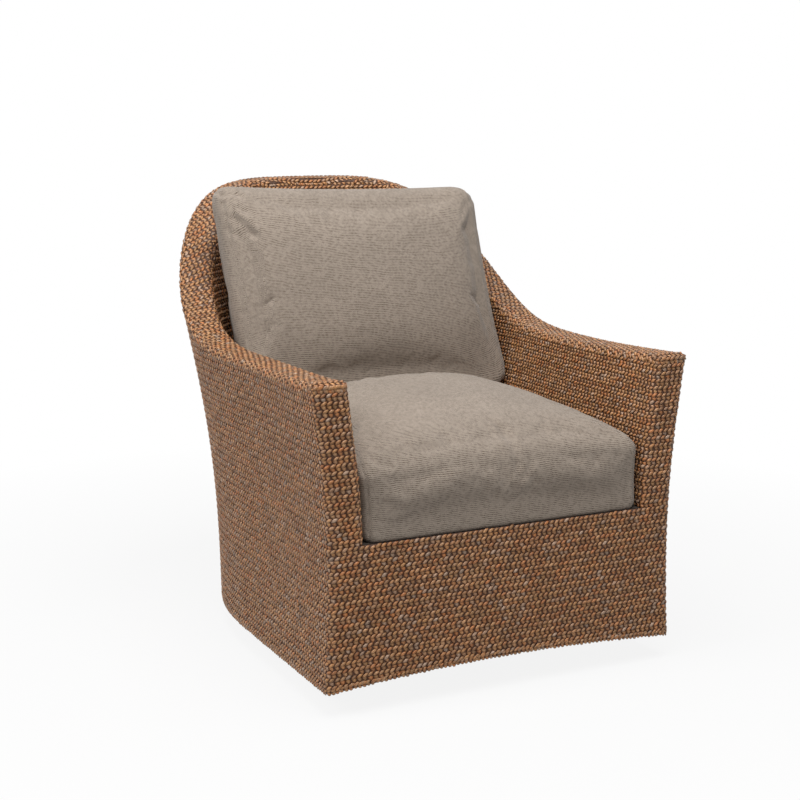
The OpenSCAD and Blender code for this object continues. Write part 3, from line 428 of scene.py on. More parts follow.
def strand(low, high, lean, width, rings):
    """One plump leaf of rush, leaning along its row and dipping under at both ends."""
    bm = bmesh.new()
    levels = len(rings) + 1
    bmesh.ops.create_uvsphere(bm, u_segments=STRAND_SIDES, v_segments=levels, radius=1)
    bmesh.ops.triangulate(bm, faces=bm.faces, quad_method="ALTERNATE")
    bm.verts.index_update()
    points, place = [], []
    for v in bm.verts:
        level = round((asin(np.clip(v.co.z, -1, 1)) / pi + 0.5) * levels)
        along, wide, thick = ((0, 0, 0), *rings, (1, 0, 0))[level]
        a = atan2(v.co.y, v.co.x)
        points.append(((along - 0.5) * lean - wide * width / 2 * cos(a), mix(low, high, along),
                       thick * STRAND_H / 2 * sin(a) if wide else -STRAND_DIP))
        place.append((along, 0.5 + cos(a) / 2 if wide else 0.5))
    faces = np.array([[v.index for v in f.verts] for f in bm.faces])
    bm.free()
    return np.array(points), faces, np.array(place)


UPPER = strand(*UPPER_REACH, UPPER_RINGS)
LOWER = strand(*LOWER_REACH, LOWER_RINGS)


def unit(v):
    return v / np.linalg.norm(v, axis=-1, keepdims=True)


class Row:
    """A line that a row of strands follows, with the directions up the wall and out of it."""

    def __init__(self, line, out, share=0):
        self.line, self.out = line, unit(out)
        self.up = unit(np.cross(self.out, np.gradient(line, axis=0)))
        self.share = share + np.zeros(len(line))
        steps = np.linalg.norm(np.diff(line, axis=0), axis=1)
        self.run = np.concatenate([[0], np.cumsum(steps)])

    def at(self, u, values):
        """Places or directions of the line at lengths u along it."""
        return np.stack([np.interp(u, self.run, values[:, i]) for i in range(3)], axis=-1)


# Bundles of like parts for each piece: points, faces, tones, and the number of their finish
plaits = {}


def lay(row, keep, closed=True, phase=0.0, margin=0.0, size=1.0):
    """Lays strands along a row. keep gives the name of each strand's piece, or None."""
    total = row.run[-1]
    count = max(1, round((total - 2 * margin) / (PITCH * size)))
    pitch = (total - 2 * margin) / count
    u_mid = margin + (np.arange(count) + phase) * pitch
    for (co, faces, place), tall, drop in ((LOWER, LOWER_LIFT, CREST_DROP + UNDER),
                                           (UPPER, 1.0, CREST_DROP)):
        n = len(u_mid)
        grow = SHUFFLE.uniform(*GROWTH, (n, 1)) * size
        twist = SHUFFLE.normal(0, TWIST, (n, 1))
        lift = SHUFFLE.uniform(*LIFT, (n, 1)) * tall
        x = (co[:, 0] * np.cos(twist) - co[:, 1] * np.sin(twist)) * grow * pitch / (PITCH * size)
        y = (co[:, 0] * np.sin(twist) + co[:, 1] * np.cos(twist)) * grow
        h = co[:, 2] * lift - drop
        u = x + u_mid[:, None] + SHUFFLE.normal(0, SHIFT, (n, 1))
        if closed:
            u = np.mod(u, total)
        y = y + SHUFFLE.normal(0, SHIFT, (n, 1))
        points = (row.at(u, row.line) + row.at(u, row.up) * y[..., None]
                  + row.at(u, row.out) * h[..., None])
        hue, value = SHUFFLE.uniform(0, 1, (n, 1)), SHUFFLE.uniform(0, 1, (n, 1))
        tones = np.stack(np.broadcast_arrays(hue, value, *place.T), axis=-1)
        columns = np.interp(np.mod(u_mid, total) if closed else u_mid, row.run,
                            np.arange(len(row.run)))
        names = keep(columns, points, np.interp(u_mid, row.run, row.share))
        for name in sorted(set(names) - {None}):
            chosen = np.array([k == name for k in names])
            plaits.setdefault(name, []).append((points[chosen], faces, tones[chosen], 0))


# Rows of the wall, plaited over the posts and ribs: below the seat they run round the outside
# and across the front panel, and above it round the outside, over the arm fronts and round
# the inside.
ROWS_BELOW = int(APRON_H / ROW)
ROWS_ABOVE = int((SHELL_H - APRON_H) / ROW)
ARM_ROWS = int((ARM_H - EDGE_R - APRON_H) / ROW)
APRON_HALF = len(apron_way(FLOOR_GAP)) - 1
WALL_HALF = len(wall_way(FLOOR_GAP)) - 1
FRONT_TURN = len(CORNER)
LEVEL_STEP = 0.001
HEM_GAP = 0.001
RIM_GAP = 0.007


def side_share(columns, half):
    """The share t at columns of the outside, counted from the middle of the back."""
    return np.interp(np.abs(columns - half), np.arange(len(OUTSIDE)), OUTSIDE[::-1])


def way_row(way, z):
    """The row at the height z along a way, with its directions."""
    low, line, high = (both_halves(way(z + dz)) for dz in (-LEVEL_STEP, 0, LEVEL_STEP))
    return Row(line, np.cross(np.gradient(line, axis=0), high - low))


def apron_arch(x):
    """How far the front panel's bottom edge is above the foot at the place x."""
    return APRON_ARCH * (1 - np.clip(np.abs(2 * x / FOOT_W), 0, 1) ** 2)


def apron_names(columns):
    """The pieces at columns of a row below the seat, and which of them are on the front panel."""
    t = side_share(columns, APRON_HALF)
    side = np.where(columns < APRON_HALF, "right", "left")
    on_front = np.abs(columns - APRON_HALF) > len(OUTSIDE) - 2 + FRONT_TURN / 2
    names = np.where(t < CORNER_SHARE, np.char.add("outer_side_", side),
                     np.char.add("outer_back_", side))
    return np.where(on_front, "front_panel", names), on_front


def keep_below(columns, points, share):
    """The pieces of strands below the seat, and None for those past the bottom edge."""
    names, on_front = apron_names(columns)
    edge = FLOOR_GAP + apron_arch(points[..., 0].mean(axis=1)) * on_front + HEM_GAP
    return [n if low > e else None for n, low, e in zip(names, points[..., 2].min(axis=1), edge)]


def keep_above(columns, points, share):
    """The pieces of strands above the seat, and None for those past the rim."""
    from_middle = np.abs(columns - WALL_HALF)
    side = np.where(columns < WALL_HALF, "right", "left")
    outside = from_middle < len(OUTSIDE) - 1
    inside = from_middle > WALL_HALF - len(OUTSIDE) + 1
    t = np.where(outside, side_share(columns, WALL_HALF), side_share(WALL_HALF - from_middle, 0))
    t = np.where(outside | inside, t, 0)
    low_enough = points[..., 2].max(axis=1) < rim_height(t) - RIM_GAP * (outside | inside)
    side_names = np.where(outside, np.char.add("outer_side_", side),
                          np.char.add("inner_side_", side))
    back_names = np.where(outside, np.char.add("outer_back_", side), "inner_back")
    names = np.where(outside | inside, np.where(t < CORNER_SHARE, side_names, back_names),
                     np.char.add("arm_wrap_", side))
    return [n if ok else None for n, ok in zip(names, low_enough)]


for i in range(ROWS_BELOW):
    lay(way_row(apron_way, DECK_TOP - (i + 0.5) * ROW), keep_below,
        phase=SHUFFLE.uniform(*PHASE) + 0.5 * i)
for i in range(ROWS_ABOVE):
    lay(way_row(wall_way, DECK_TOP + (i + 0.5) * ROW), keep_above,
        phase=SHUFFLE.uniform(*PHASE) + 0.5 * i)

# Hem: one narrower row of the same rush, plaited on last, that follows the shell's bottom edge
# and the front panel's arch.
HEM_SIZE = 0.8
HEM_LIFT = 0.0055


def hem_line(lift):
    """A line round the shell at a small height above its bottom edge."""
    low, high = (both_halves(apron_way(FLOOR_GAP + lift + h)) for h in (0, APRON_ARCH))
    arch = apron_arch(low[:, 0]) * apron_names(np.arange(len(low)))[1]
    return mix(low, high, (arch / APRON_ARCH)[:, None])


hem = hem_line(HEM_LIFT)
hem_out = np.cross(np.gradient(hem, axis=0), hem_line(HEM_LIFT + LEVEL_STEP) - hem)
lay(Row(hem, hem_out), lambda columns, *_: list(apron_names(columns)[0]), size=HEM_SIZE)

# Rim: a wrap of the same rush over the bent boards. The rows carry on up the arm fronts, turn
# over their rounded tops and run across the arms, square to the chair's front, all the way up
# and over the back.
LAP = 0.016
LAP_UNDER = 0.005
RIM_COLUMNS = 40
CAP_ANGLES = np.radians(np.linspace(0, 90, 7))


def cap_section(t, r=EDGE_R):
    """Points over the rim at the share t: up the outer edge, across, and down the inner one."""
    arc_d, arc_drop = EDGE_R - r * np.cos(CAP_ANGLES), EDGE_R - r * np.sin(CAP_ANGLES)
    flat = np.linspace(EDGE_R, WALL_T - EDGE_R, RIM_COLUMNS)[1:-1]
    d = np.concatenate([[EDGE_R - r], arc_d, flat, WALL_T - arc_d[::-1], [WALL_T - EDGE_R + r]])
    drop = np.concatenate([[EDGE_R + LAP], arc_drop, np.full_like(flat, EDGE_R - r),
                           arc_drop[::-1], [EDGE_R + LAP]])
    z = rim_height(t) - drop
    return np.stack([*wall_plan(t, z, d), z], axis=1)


CAP_SHARES = np.linspace(SIDE_START, 1, 320)
CAP = np.array([cap_section(t) for t in CAP_SHARES])
CAP_MID = CAP[:, CAP.shape[1] // 2]
CAP_OUT = np.cross(np.gradient(CAP, axis=0), np.gradient(CAP, axis=1))


def cap_run():
    """Length over the middle of the rim, measured square to the rows, with its depth."""
    step = np.gradient(CAP_MID, axis=0)
    plan = np.hypot(step[:, 0], step[:, 1])
    slope, along = step[:, 2] / plan, step[:, 0] / plan
    stretch = np.sqrt((1 + slope ** 2) / (1 + (slope * along) ** 2))
    y = CAP_MID[:, 1]
    run = np.concatenate([[0], np.cumsum(np.diff(y) * (stretch[1:] + stretch[:-1]) / 2)])
    return np.append(run, run[-1] + WALL_T), np.append(y, y[-1] + WALL_T)


def cap_row(y):
    """The rows across the rim at the depth y: one on each arm, or one over the whole back."""
    reach = [c for c in range(CAP.shape[1]) if y <= CAP[-1, c, 1]]
    line, out = (np.array([[np.interp(y, CAP[:, c, 1], grid[:, c, i]) for i in range(3)]
                           for c in reach]) for grid in (CAP, CAP_OUT))
    share = np.array([np.interp(y, CAP[:, c, 1], CAP_SHARES) for c in reach])
    left = line * MIRROR, out * MIRROR, share
    right = line[::-1], out[::-1], share[::-1]
    if len(reach) == CAP.shape[1]:
        return [Row(*left), Row(*right)]
    return [Row(*(np.concatenate(pair) for pair in zip(left, right)))]


ARM_TOP = FLOOR_GAP + ARM_H - EDGE_R


def turn_section(b, r=EDGE_R):
    """Points and directions over the arm front's rounded top at the angle b, outer edge first."""
    points, out = [], []
    for d, side in ((EDGE_R, 1), (WALL_T - EDGE_R, -1)):
        x = wall_plan(0, ARM_TOP, d)[0]
        n = np.stack([side * np.cos(CAP_ANGLES), -np.sin(CAP_ANGLES) * cos(b),
                      np.sin(CAP_ANGLES) * sin(b)], axis=1)
        p = np.array([x, FRONT + EDGE_R, ARM_TOP]) + r * n
        lap = p[:1] + LAP * np.array([0, cos(b), -sin(b)])
        points.append(np.concatenate([lap, p]))
        out.append(np.concatenate([n[:1], n]))
    return (np.concatenate([e[0], e[1][::-1]]) for e in (points, out))


def turn_row(b):
    """The rows over both arm fronts' rounded tops at the angle b."""
    line, out = turn_section(b)
    return [Row(line * MIRROR, out * MIRROR), Row(line[::-1], out[::-1])]


def keep_cap(columns, points, share):
    side = np.where(points[..., 0].mean(axis=1) > 0, "arm_wrap_right", "arm_wrap_left")
    return list(np.where(share < CORNER_SHARE, side, "back_wrap"))


run, depth = cap_run()
for i in itertools.count(ARM_ROWS):
    over = (i + 0.5) * ROW - (ARM_TOP - DECK_TOP)
    phase = SHUFFLE.uniform(*PHASE) + 0.5 * (i % 2)
    if over < EDGE_R * pi / 2:
        rows = turn_row(over / EDGE_R)
    else:
        y = np.interp(over - EDGE_R * pi / 2, run, depth)
        if y > CAP[-1, 0, 1]:
            break
        rows = cap_row(y)
    for row in rows:
        lay(row, keep_cap, closed=False, phase=phase, margin=LAP - LAP_UNDER)

# Two rows follow the rim's outer edge over the middle of the back, where the others run out.
EDGE_START = 0.86
EDGE_COLUMNS = 1, 6
late = CAP_SHARES >= EDGE_START
late_share = np.concatenate([CAP_SHARES[late], CAP_SHARES[late][-2::-1]])
for column in EDGE_COLUMNS:
    line, out = (both_halves(grid[late, column]) for grid in (CAP, CAP_OUT))
    lay(Row(line, out, late_share), keep_cap, closed=False)

# Bed: the inner rush that the strands are plaited over, stretched on the wooden frame. It lies
# just below the strands' crests, as thin closed sheets, dark as painted shade in the gaps.
BED_DROP = 0.0016
BED_T = 0.0026
BED_EDGE_R = EDGE_R - BED_DROP
BED_LOW = FLOOR_GAP + 0.002
SIDE_COLUMNS, BACK_COLUMNS, PANEL_COLUMNS = 30, 40, 40
WALL_ROWS, PANEL_ROWS, TURN_ROWS, ARM_CAP_ROWS, BACK_CAP_ROWS = 26, 14, 5, 44, 50


def bed(piece, grid, mirrored=False):
    """A thin closed sheet over a grid of points, added to a piece."""
    rows, cols = grid.shape[:2]
    bm = bmesh.new()
    bmesh.ops.create_grid(bm, x_segments=cols - 1, y_segments=rows - 1, size=1)
    for v, co in zip(bm.verts, grid.reshape(-1, 3)):
        v.co = co * ((-1, 1, 1) if mirrored else (1, 1, 1))
    bm.normal_update()
    bmesh.ops.solidify(bm, geom=bm.faces, thickness=BED_T if mirrored else -BED_T)
    bmesh.ops.recalc_face_normals(bm, faces=bm.faces)
    bmesh.ops.triangulate(bm, faces=bm.faces)
    points = np.array([[v.co[:] for v in bm.verts]])
    faces = np.array([[v.index for v in f.verts] for f in bm.faces])
    plaits[piece].append((points, faces, np.zeros((1, points.shape[1], 4)), 1))
    bm.free()


def wall_grid(t_low, t_high, low, d, columns):
    """The wall at the depth d between two shares, from the height low to the rim."""
    t = np.linspace(t_low, t_high, columns)
    top = rim_height(t) - EDGE_R
    levels = [mix(low, top, s) for s in np.linspace(0, 1, WALL_ROWS)]
    return np.array([np.stack([*wall_plan(t, z, d), z], axis=1) for z in levels])


def arm_front_grid():
    """Arm front above the seat: round its outer edge, across, and round its inner edge."""
    grid = []
    for z in np.linspace(DECK_TOP, ARM_TOP, WALL_ROWS):
        outer = front_turn(z, EDGE_R, CORNER, BED_EDGE_R)
        inner = front_turn(z, WALL_T - EDGE_R, CORNER[::-1], BED_EDGE_R)
        x, y = (np.concatenate(pair) for pair in zip(outer, inner))
        grid.append(np.stack([x, y, np.full_like(x, z)], axis=1))
    return np.array(grid)


def panel_grid():
    """Front panel: round both outer edges and across, from its arched bottom edge up."""
    angles = np.concatenate([CORNER, np.full(PANEL_COLUMNS, pi / 2), CORNER[::-1]])
    edge = np.ones(len(CORNER))
    share = np.concatenate([edge, np.linspace(1, -1, PANEL_COLUMNS + 2)[1:-1], -edge])
    d = EDGE_R - BED_EDGE_R * np.cos(angles)
    y = FRONT + EDGE_R - BED_EDGE_R * np.sin(angles)
    grid = []
    for s in np.linspace(0, 1, PANEL_ROWS):
        foot_x = wall_plan(0, FLOOR_GAP, d)[0] * share
        z = mix(BED_LOW + apron_arch(foot_x), DECK_TOP, s)
        x = wall_plan(0, z, d)[0] * share
        grid.append(np.stack([x, y, z], axis=1))
    return np.array(grid)


def cap_grid(t_low, t_high, rows):
    """The rim between two shares."""
    return [cap_section(t, BED_EDGE_R)[1:-1] for t in np.linspace(t_low, t_high, rows)]


def arm_cap_grid():
    """The rim over an arm, with its rounded front end."""
    columns = len(CAP_ANGLES)
    across = np.linspace(0, 1, CAP.shape[1] - 2 * columns)[1:-1, None]
    turned = []
    for b in np.linspace(0, pi / 2, TURN_ROWS)[:-1]:
        section = list(turn_section(b, BED_EDGE_R))[0]
        outer, inner = section[1:columns + 1], section[columns + 1:-1]
        turned.append(np.concatenate([outer, mix(outer[-1], inner[0], across), inner]))
    return np.array(turned + cap_grid(SIDE_START, CORNER_SHARE, ARM_CAP_ROWS))


for side, mirrored in (("right", False), ("left", True)):
    for kind, t_low, t_high, columns in (("side_" + side, SIDE_START, CORNER_SHARE, SIDE_COLUMNS),
                                         ("back", CORNER_SHARE, 1, BACK_COLUMNS)):
        outer = "outer_" + kind if kind != "back" else "outer_back_" + side
        bed(outer, wall_grid(t_low, t_high, BED_LOW, BED_DROP, columns)[:, ::-1], mirrored)
        bed("inner_" + kind, wall_grid(t_low, t_high, DECK_TOP, WALL_T - BED_DROP, columns),
            mirrored)
    bed("arm_wrap_" + side, arm_front_grid(), mirrored)
    bed("arm_wrap_" + side, arm_cap_grid(), mirrored)
    bed("back_wrap", np.array(cap_grid(CORNER_SHARE, 1, BACK_CAP_ROWS)), mirrored)
bed("front_panel", panel_grid())

# Finish of the strands: stained resin with a tone for each strand, with fine fibres along it,
# paler along its crest as a painted highlight, and dark brown as painted shade where it dips under
# at its tip and sides.
def maths(tree, kind, *values):
    return add(tree, "Math", dict(enumerate(values)), operation=kind).outputs[0]


STRAND, tree, shader = finish("strand_resin", Specular_IOR_Level=0.45)
tones = add(tree, "Attribute", {}, attribute_name="strand")
parts = add(tree, "SeparateColor", {"Color": tones.outputs["Color"]})
hue, value, along = (parts.outputs[i] for i in range(3))
across = tones.outputs["Alpha"]
tint = ramp(tree, hue, (0.0, (0.43, 0.160, 0.050)), (0.22, (0.45, 0.205, 0.080)),
            (0.45, (0.40, 0.198, 0.074)), (0.66, (0.48, 0.262, 0.128)),
            (0.82, (0.38, 0.175, 0.068)), (1.0, (0.44, 0.300, 0.210)))
place = add(tree, "CombineXYZ", {"X": maths(tree, "MULTIPLY", along, 2.0),
                                 "Y": maths(tree, "MULTIPLY", across, 14.0),
                                 "Z": maths(tree, "MULTIPLY", value, 60.0)})
fibre = add(tree, "TexNoise", {"Vector": place.outputs[0], "Scale": 1.0, "Detail": 2.0})
shade = maths(tree, "ADD", maths(tree, "MULTIPLY", value, 0.50), 0.60)
side = maths(tree, "ABSOLUTE", maths(tree, "SUBTRACT", across, 0.5))
# Painted highlight along the crest, and painted shade at the sides where neighbouring strands
# overlap
edge = ramp(tree, side, (0.0, 1.08), (0.31, 1.0), (0.36, 0.62), (0.40, (0.34, 0.20, 0.15)))
# Painted shade at both ends of the strand, where it dips under its neighbours
painted_tip_shade = ramp(tree, along, (0.0, 0.30), (0.09, 0.75), (0.16, 1.0), (0.84, 1.0),
           (0.96, (0.38, 0.24, 0.18)))
streak = ramp(tree, fibre.outputs["Fac"], (0.3, 0.74), (0.55, 1.0), (0.75, 1.1))
bump = add(tree, "Bump", {"Height": fibre.outputs["Fac"], "Strength": 0.35, "Distance": 0.0004})
feed(tree, shader, {"Base Color": layered(tree, tint, streak, shade, edge, painted_tip_shade),
                    "Roughness": ramp(tree, fibre.outputs["Fac"], (0.3, 0.52), (0.7, 0.32)),
                    "Normal": bump.outputs[0]})

# Finish of the bed: the resin underneath, painted dark brown as shade, since it lies out of the
# light.
BED, tree, shader = finish("bed_resin_painted_shade", Roughness=0.7)
spots = add(tree, "TexNoise", {"Vector": add(tree, "TexCoord", {}).outputs["Object"],
                               "Scale": 240.0, "Detail": 2.0})
feed(tree, shader, {"Base Color": ramp(tree, spots.outputs["Fac"], (0.35, (0.048, 0.019, 0.008)),
                                       (0.65, (0.078, 0.032, 0.014)))})

# Plaited pieces: each is its strands and its bed, joined, and rocks with the wooden frame. The
# outer back is plaited in two halves that meet in the middle.
STANDS_FOR = {"outer_back_left": "outer_back", "outer_back_right": "outer_back"}
for name, bundles in sorted(plaits.items()):
    points, faces, tones, finishes, count = [], [], [], [], 0
    for part_points, part_faces, part_tones, number in bundles:
        copies, size = part_points.shape[:2]
        shift = count + np.arange(copies)[:, None, None] * size
        points.append(part_points.reshape(-1, 3))
        faces.append((part_faces + shift).reshape(-1, 3))
        tones.append(part_tones.reshape(-1, 4))
        finishes.append(np.full(copies * len(part_faces), number))
        count += copies * size
    co, faces, tones, finishes = map(np.concatenate, (points, faces, tones, finishes))
    mesh = bpy.data.meshes.new(name)
    mesh.from_pydata(co, [], faces, shade_flat=False)
    mesh.polygons.foreach_set("material_index", finishes)
    at = mesh.attributes.new("strand", "FLOAT_COLOR", "POINT")
    at.data.foreach_set("color", tones.ravel())
    mesh.materials.append(STRAND)
    mesh.materials.append(BED)
    piece = new_object("plaited_" + name, mesh)
    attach(piece, "rocker")
    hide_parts(STANDS_FOR.get(name, name))

# Seat cushion and back cushion: foam in loose covers of a greige slub weave, sewn round both
# sides, that lie free on the deck and against the back. Each swells from its plain form under
# pressure and keeps clear of the shell.
CUSHION_VOXEL = 0.006
CUSHION_START = 0.003
CUSHION_CAP = 0.022
CUSHION_SINK = 0.003
CUSHION_PRESSURE = 4.0
CUSHION_FRAMES = 20
CUSHION_SLIDE = 0.3
CLEARANCE = 0.004
HEIGHTS = np.linspace(DECK_TOP, FLOOR_GAP + SHELL_H, 40)
SEAM_TURN = 0.60
SEAM_WIDTH = 0.11
SEAM_DEPTH = 0.0016
PUCKER = 0.0011
PUCKER_FADE = 0.55
PUCKER_SCALE = 38


def merged_copy(name, node):
    """A copy of a plain form, welded and remeshed evenly."""
    piece = new_object(name, nodes[node].data.copy())
    bm = bmesh.new()
    bm.from_mesh(piece.data)
    bmesh.ops.remove_doubles(bm, verts=bm.verts, dist=0.00001)
    bm.normal_update()
    for v in bm.verts:
        v.co -= v.normal * CUSHION_START
    bm.to_mesh(piece.data)
    bm.free()
    change(piece, "REMESH", mode="VOXEL", voxel_size=CUSHION_VOXEL)
    return piece


def change(piece, kind, **settings):
    """Gives a piece a modifier and applies it."""
    modifier = piece.modifiers.new(kind.lower(), kind)
    for key, value in settings.items():
        setattr(modifier, key, value)
    keep_shape(piece)


def keep_shape(piece):
    """Makes the shape that a piece has now its own, with no modifiers left."""
    graph = bpy.context.evaluated_depsgraph_get()
    mesh = bpy.data.meshes.new_from_object(piece.evaluated_get(graph))
    piece.modifiers.clear()
    piece.data = mesh


def coordinates(mesh):
    flat = np.empty(len(mesh.vertices) * 3)
    mesh.vertices.foreach_get("co", flat)
    return flat.reshape(-1, 3)


def set_coordinates(mesh, co):
    mesh.vertices.foreach_set("co", co.ravel())
    mesh.update()


def normals(mesh):
    flat = np.empty(len(mesh.vertices) * 3)
    mesh.vertex_normals.foreach_get("vector", flat)
    return flat.reshape(-1, 3)


def swell(piece, rest):
    """Blows a cushion up as cloth, no further than its cap. It rests on its lowest part."""
    start = coordinates(piece.data)
    free = ease(np.clip((start[:, 2] - start[:, 2].min()) / rest, 0, 1))[:, None]
    cloth = piece.modifiers.new("cloth", "CLOTH")
    for key, value in (("quality", 5), ("mass", 0.3), ("tension_stiffness", 40),
                       ("compression_stiffness", 40), ("shear_stiffness", 20),
                       ("bending_stiffness", 2.0), ("use_pressure", True),
                       ("uniform_pressure_force", CUSHION_PRESSURE)):
        setattr(cloth.settings, key, value)
    cloth.settings.effector_weights.gravity = 0
    cloth.collision_settings.use_collision = False
    cloth.point_cache.frame_start = 1
    cloth.point_cache.frame_end = CUSHION_FRAMES
    for f in range(1, CUSHION_FRAMES + 1):
        bpy.context.scene.frame_set(f)
    keep_shape(piece)
    bpy.context.scene.frame_set(1)
    move = coordinates(piece.data) - start
    out = normals(piece.data)
    outward = (move * out).sum(axis=1, keepdims=True)
    slide = move - outward * out
    outward = np.where(outward > 0, CUSHION_CAP * np.tanh(outward / CUSHION_CAP),
                       CUSHION_SINK * np.tanh(outward / CUSHION_SINK))
    set_coordinates(piece.data, start + free * (outward * out + CUSHION_SLIDE * slide))


def side_limit(y, z):
    """Half width that a cushion has between the arms or inside the back."""
    t = np.linspace(0, 1, 160)
    inner = np.array([wall_plan(t, level, WALL_T + CLEARANCE) for level in HEIGHTS])
    limit = np.empty(len(y))
    nearest = np.rint((z - HEIGHTS[0]) / (HEIGHTS[1] - HEIGHTS[0])).astype(int)
    nearest = np.clip(nearest, 0, len(HEIGHTS) - 1)
    for i, (x_in, y_in) in enumerate(inner):
        rows = nearest == i
        order = np.argsort(y_in)
        limit[rows] = np.interp(y[rows], y_in[order], x_in[order], right=0)
    return limit


def sew(piece, seed):
    """Presses the side seams into a cushion, with small puckers along them."""
    co, out = coordinates(piece.data), normals(piece.data)
    bend = (np.abs(out[:, 0]) - SEAM_TURN) / SEAM_WIDTH
    groove = np.exp(-bend ** 2)
    near = np.exp(-np.abs(bend) * PUCKER_FADE)
    ripple = np.array([noise.noise(Vector((seed, y * PUCKER_SCALE, z * PUCKER_SCALE)))
                       for _, y, z in co])
    move = -SEAM_DEPTH * groove + PUCKER * near * ripple
    set_coordinates(piece.data, co + out * move[:, None])


RING_HALF = 0.006
RING_STEP = 4


def lay_weave(piece, base):
    """Gives a cushion the place of every point in its cloth: across, and round its profile."""
    co, out = coordinates(piece.data), normals(piece.data)
    middle = (co.min(axis=0) + co.max(axis=0)) / 2
    angle = np.mod(np.arctan2(co[:, 2] - middle[2], co[:, 1] - middle[1]) - base, 2 * pi)
    slice_ = np.abs(co[:, 0]) < RING_HALF
    order = np.argsort(angle[slice_])
    ring = co[slice_][order][::RING_STEP]
    run = np.concatenate([[0], np.cumsum(np.linalg.norm(np.diff(ring[:, 1:], axis=0), axis=1))])
    round_ = np.interp(angle, angle[slice_][order][::RING_STEP], run)
    side = np.abs(out[:, 0]) > SEAM_TURN
    place = np.stack([np.where(side, co[:, 1], co[:, 0]), np.where(side, co[:, 2], round_),
                      side.astype(float)], axis=1)
    at = piece.data.attributes.new("weave", "FLOAT_VECTOR", "POINT")
    at.data.foreach_set("vector", place.ravel())


RIDGE_SHARE = 0.45
RIDGE_PLACE = 2.2


def crease(piece, line, width, depth):
    """Presses a soft fold into a cushion's front along a line of places across and up."""
    co, out = coordinates(piece.data), normals(piece.data)
    flat = co[:, [0, 2]]
    nearest = np.full(len(co), np.inf)
    for a, b in zip(line[:-1], line[1:]):
        a, b = np.array(a), np.array(b)
        share = np.clip((flat - a) @ (b - a) / ((b - a) @ (b - a)), 0, 1)
        nearest = np.minimum(nearest, np.linalg.norm(flat - a - share[:, None] * (b - a), axis=1))
    ridge = np.exp(-((nearest - RIDGE_PLACE * width) / width) ** 2)
    dent = np.exp(-(nearest / width) ** 2) - RIDGE_SHARE * ridge
    front = np.clip(-out[:, 1] * 4 - 0.4, 0, 1)
    set_coordinates(piece.data, co - out * (depth * dent * front)[:, None])


SETTLE_DEPTH = 0.17
SETTLE_FADE = 0.10
SETTLE_SINK = 0.004
EDGE_FADE = 0.035
EDGE_PUSH = 0.50


def settle(piece):
    """Sits the seat cushion's front down on the panel, with its lower edge well out."""
    co = coordinates(piece.data)
    near = ease(np.clip((FRONT + SETTLE_DEPTH - co[:, 1]) / SETTLE_FADE, 0, 1))
    low = co[near > 0.95][:, 2].min()
    share = np.exp(np.minimum(low - co[:, 2], 0) / EDGE_FADE)
    depth = co[:, 1] - co[:, 1].min()
    co[:, 2] += (DECK_TOP - SETTLE_SINK - low) * share * near
    co[:, 1] -= EDGE_PUSH * depth * share * np.exp(-(depth / EDGE_FADE) ** 2)
    set_coordinates(piece.data, co)


# Greige slub weave: rows of short flat dashes across, over a fine plain ground
SLUB_ROW = 0.0036
SLUB_L = 0.0085

FABRIC, tree, shader = finish("cushion_fabric", Roughness=0.92, Sheen_Weight=0.2,
                              Sheen_Roughness=0.5, Specular_IOR_Level=0.2)
weave = add(tree, "Attribute", {}, attribute_name="weave").outputs["Vector"]
across, round_, panel = add(tree, "SeparateXYZ", {0: weave}).outputs
sway = add(tree, "TexNoise", {"Vector": weave, "Scale": 22.0, "Detail": 1.0})
sway = maths(tree, "MULTIPLY", sway.outputs["Fac"], 1.4)
row = maths(tree, "ADD", maths(tree, "DIVIDE", round_, SLUB_ROW), sway)
line = maths(tree, "FLOOR", row)
shift = add(tree, "TexWhiteNoise", {"W": line}, noise_dimensions="1D").outputs["Value"]
bond = maths(tree, "ADD", maths(tree, "MULTIPLY", line, 0.5), maths(tree, "MULTIPLY", shift, 0.4))
dash = maths(tree, "ADD", maths(tree, "DIVIDE", across, SLUB_L), bond)
cell = add(tree, "CombineXYZ", {0: maths(tree, "FLOOR", dash), 1: line, 2: panel})
slub = add(tree, "TexWhiteNoise", {"Vector": cell.outputs[0]}).outputs["Value"]
from_row, from_end = (
    maths(tree, "ABSOLUTE", maths(tree, "SUBTRACT", maths(tree, "FRACT", part), 0.5))
    for part in (row, dash))
gap = maths(tree, "MULTIPLY", ramp(tree, from_row, (0.17, 0.0), (0.33, 1.0)),
            ramp(tree, from_end, (0.30, 1.0), (0.42, 0.0)))
gap = maths(tree, "MULTIPLY", gap, ramp(tree, slub, (0.15, 0.12), (0.70, 1.0)))
gap = maths(tree, "MAXIMUM", gap, ramp(tree, from_end, (0.42, 0.0), (0.48, 0.50)))
height = maths(tree, "SUBTRACT", 1.0, gap)
ground = add(tree, "Mapping", {"Vector": weave, "Scale": (900, 1100, 9)})
fine = add(tree, "TexVoronoi", {"Vector": ground.outputs[0], "Scale": 1.0,
                                "Randomness": 0.4}).outputs["Distance"]
wide = add(tree, "TexNoise", {"Vector": weave, "Scale": 7.0, "Detail": 2.0})
colour = ramp(tree, height, (0.0, (0.105, 0.078, 0.057)), (1.0, (0.350, 0.291, 0.237)))
colour = layered(tree, colour, ramp(tree, slub, (0.0, 0.92), (1.0, 1.06)),
                 ramp(tree, fine, (0.1, 1.05), (0.6, 0.86)),
                 ramp(tree, wide.outputs["Fac"], (0.3, 0.94), (0.7, 1.04)))
low = add(tree, "Bump", {"Height": height, "Strength": 0.5, "Distance": 0.0009})
high = add(tree, "Bump", {"Height": fine, "Strength": 0.2, "Distance": 0.0004,
                          "Normal": low.outputs[0]}, invert=True)
feed(tree, shader, {"Base Color": colour, "Normal": high.outputs[0]})


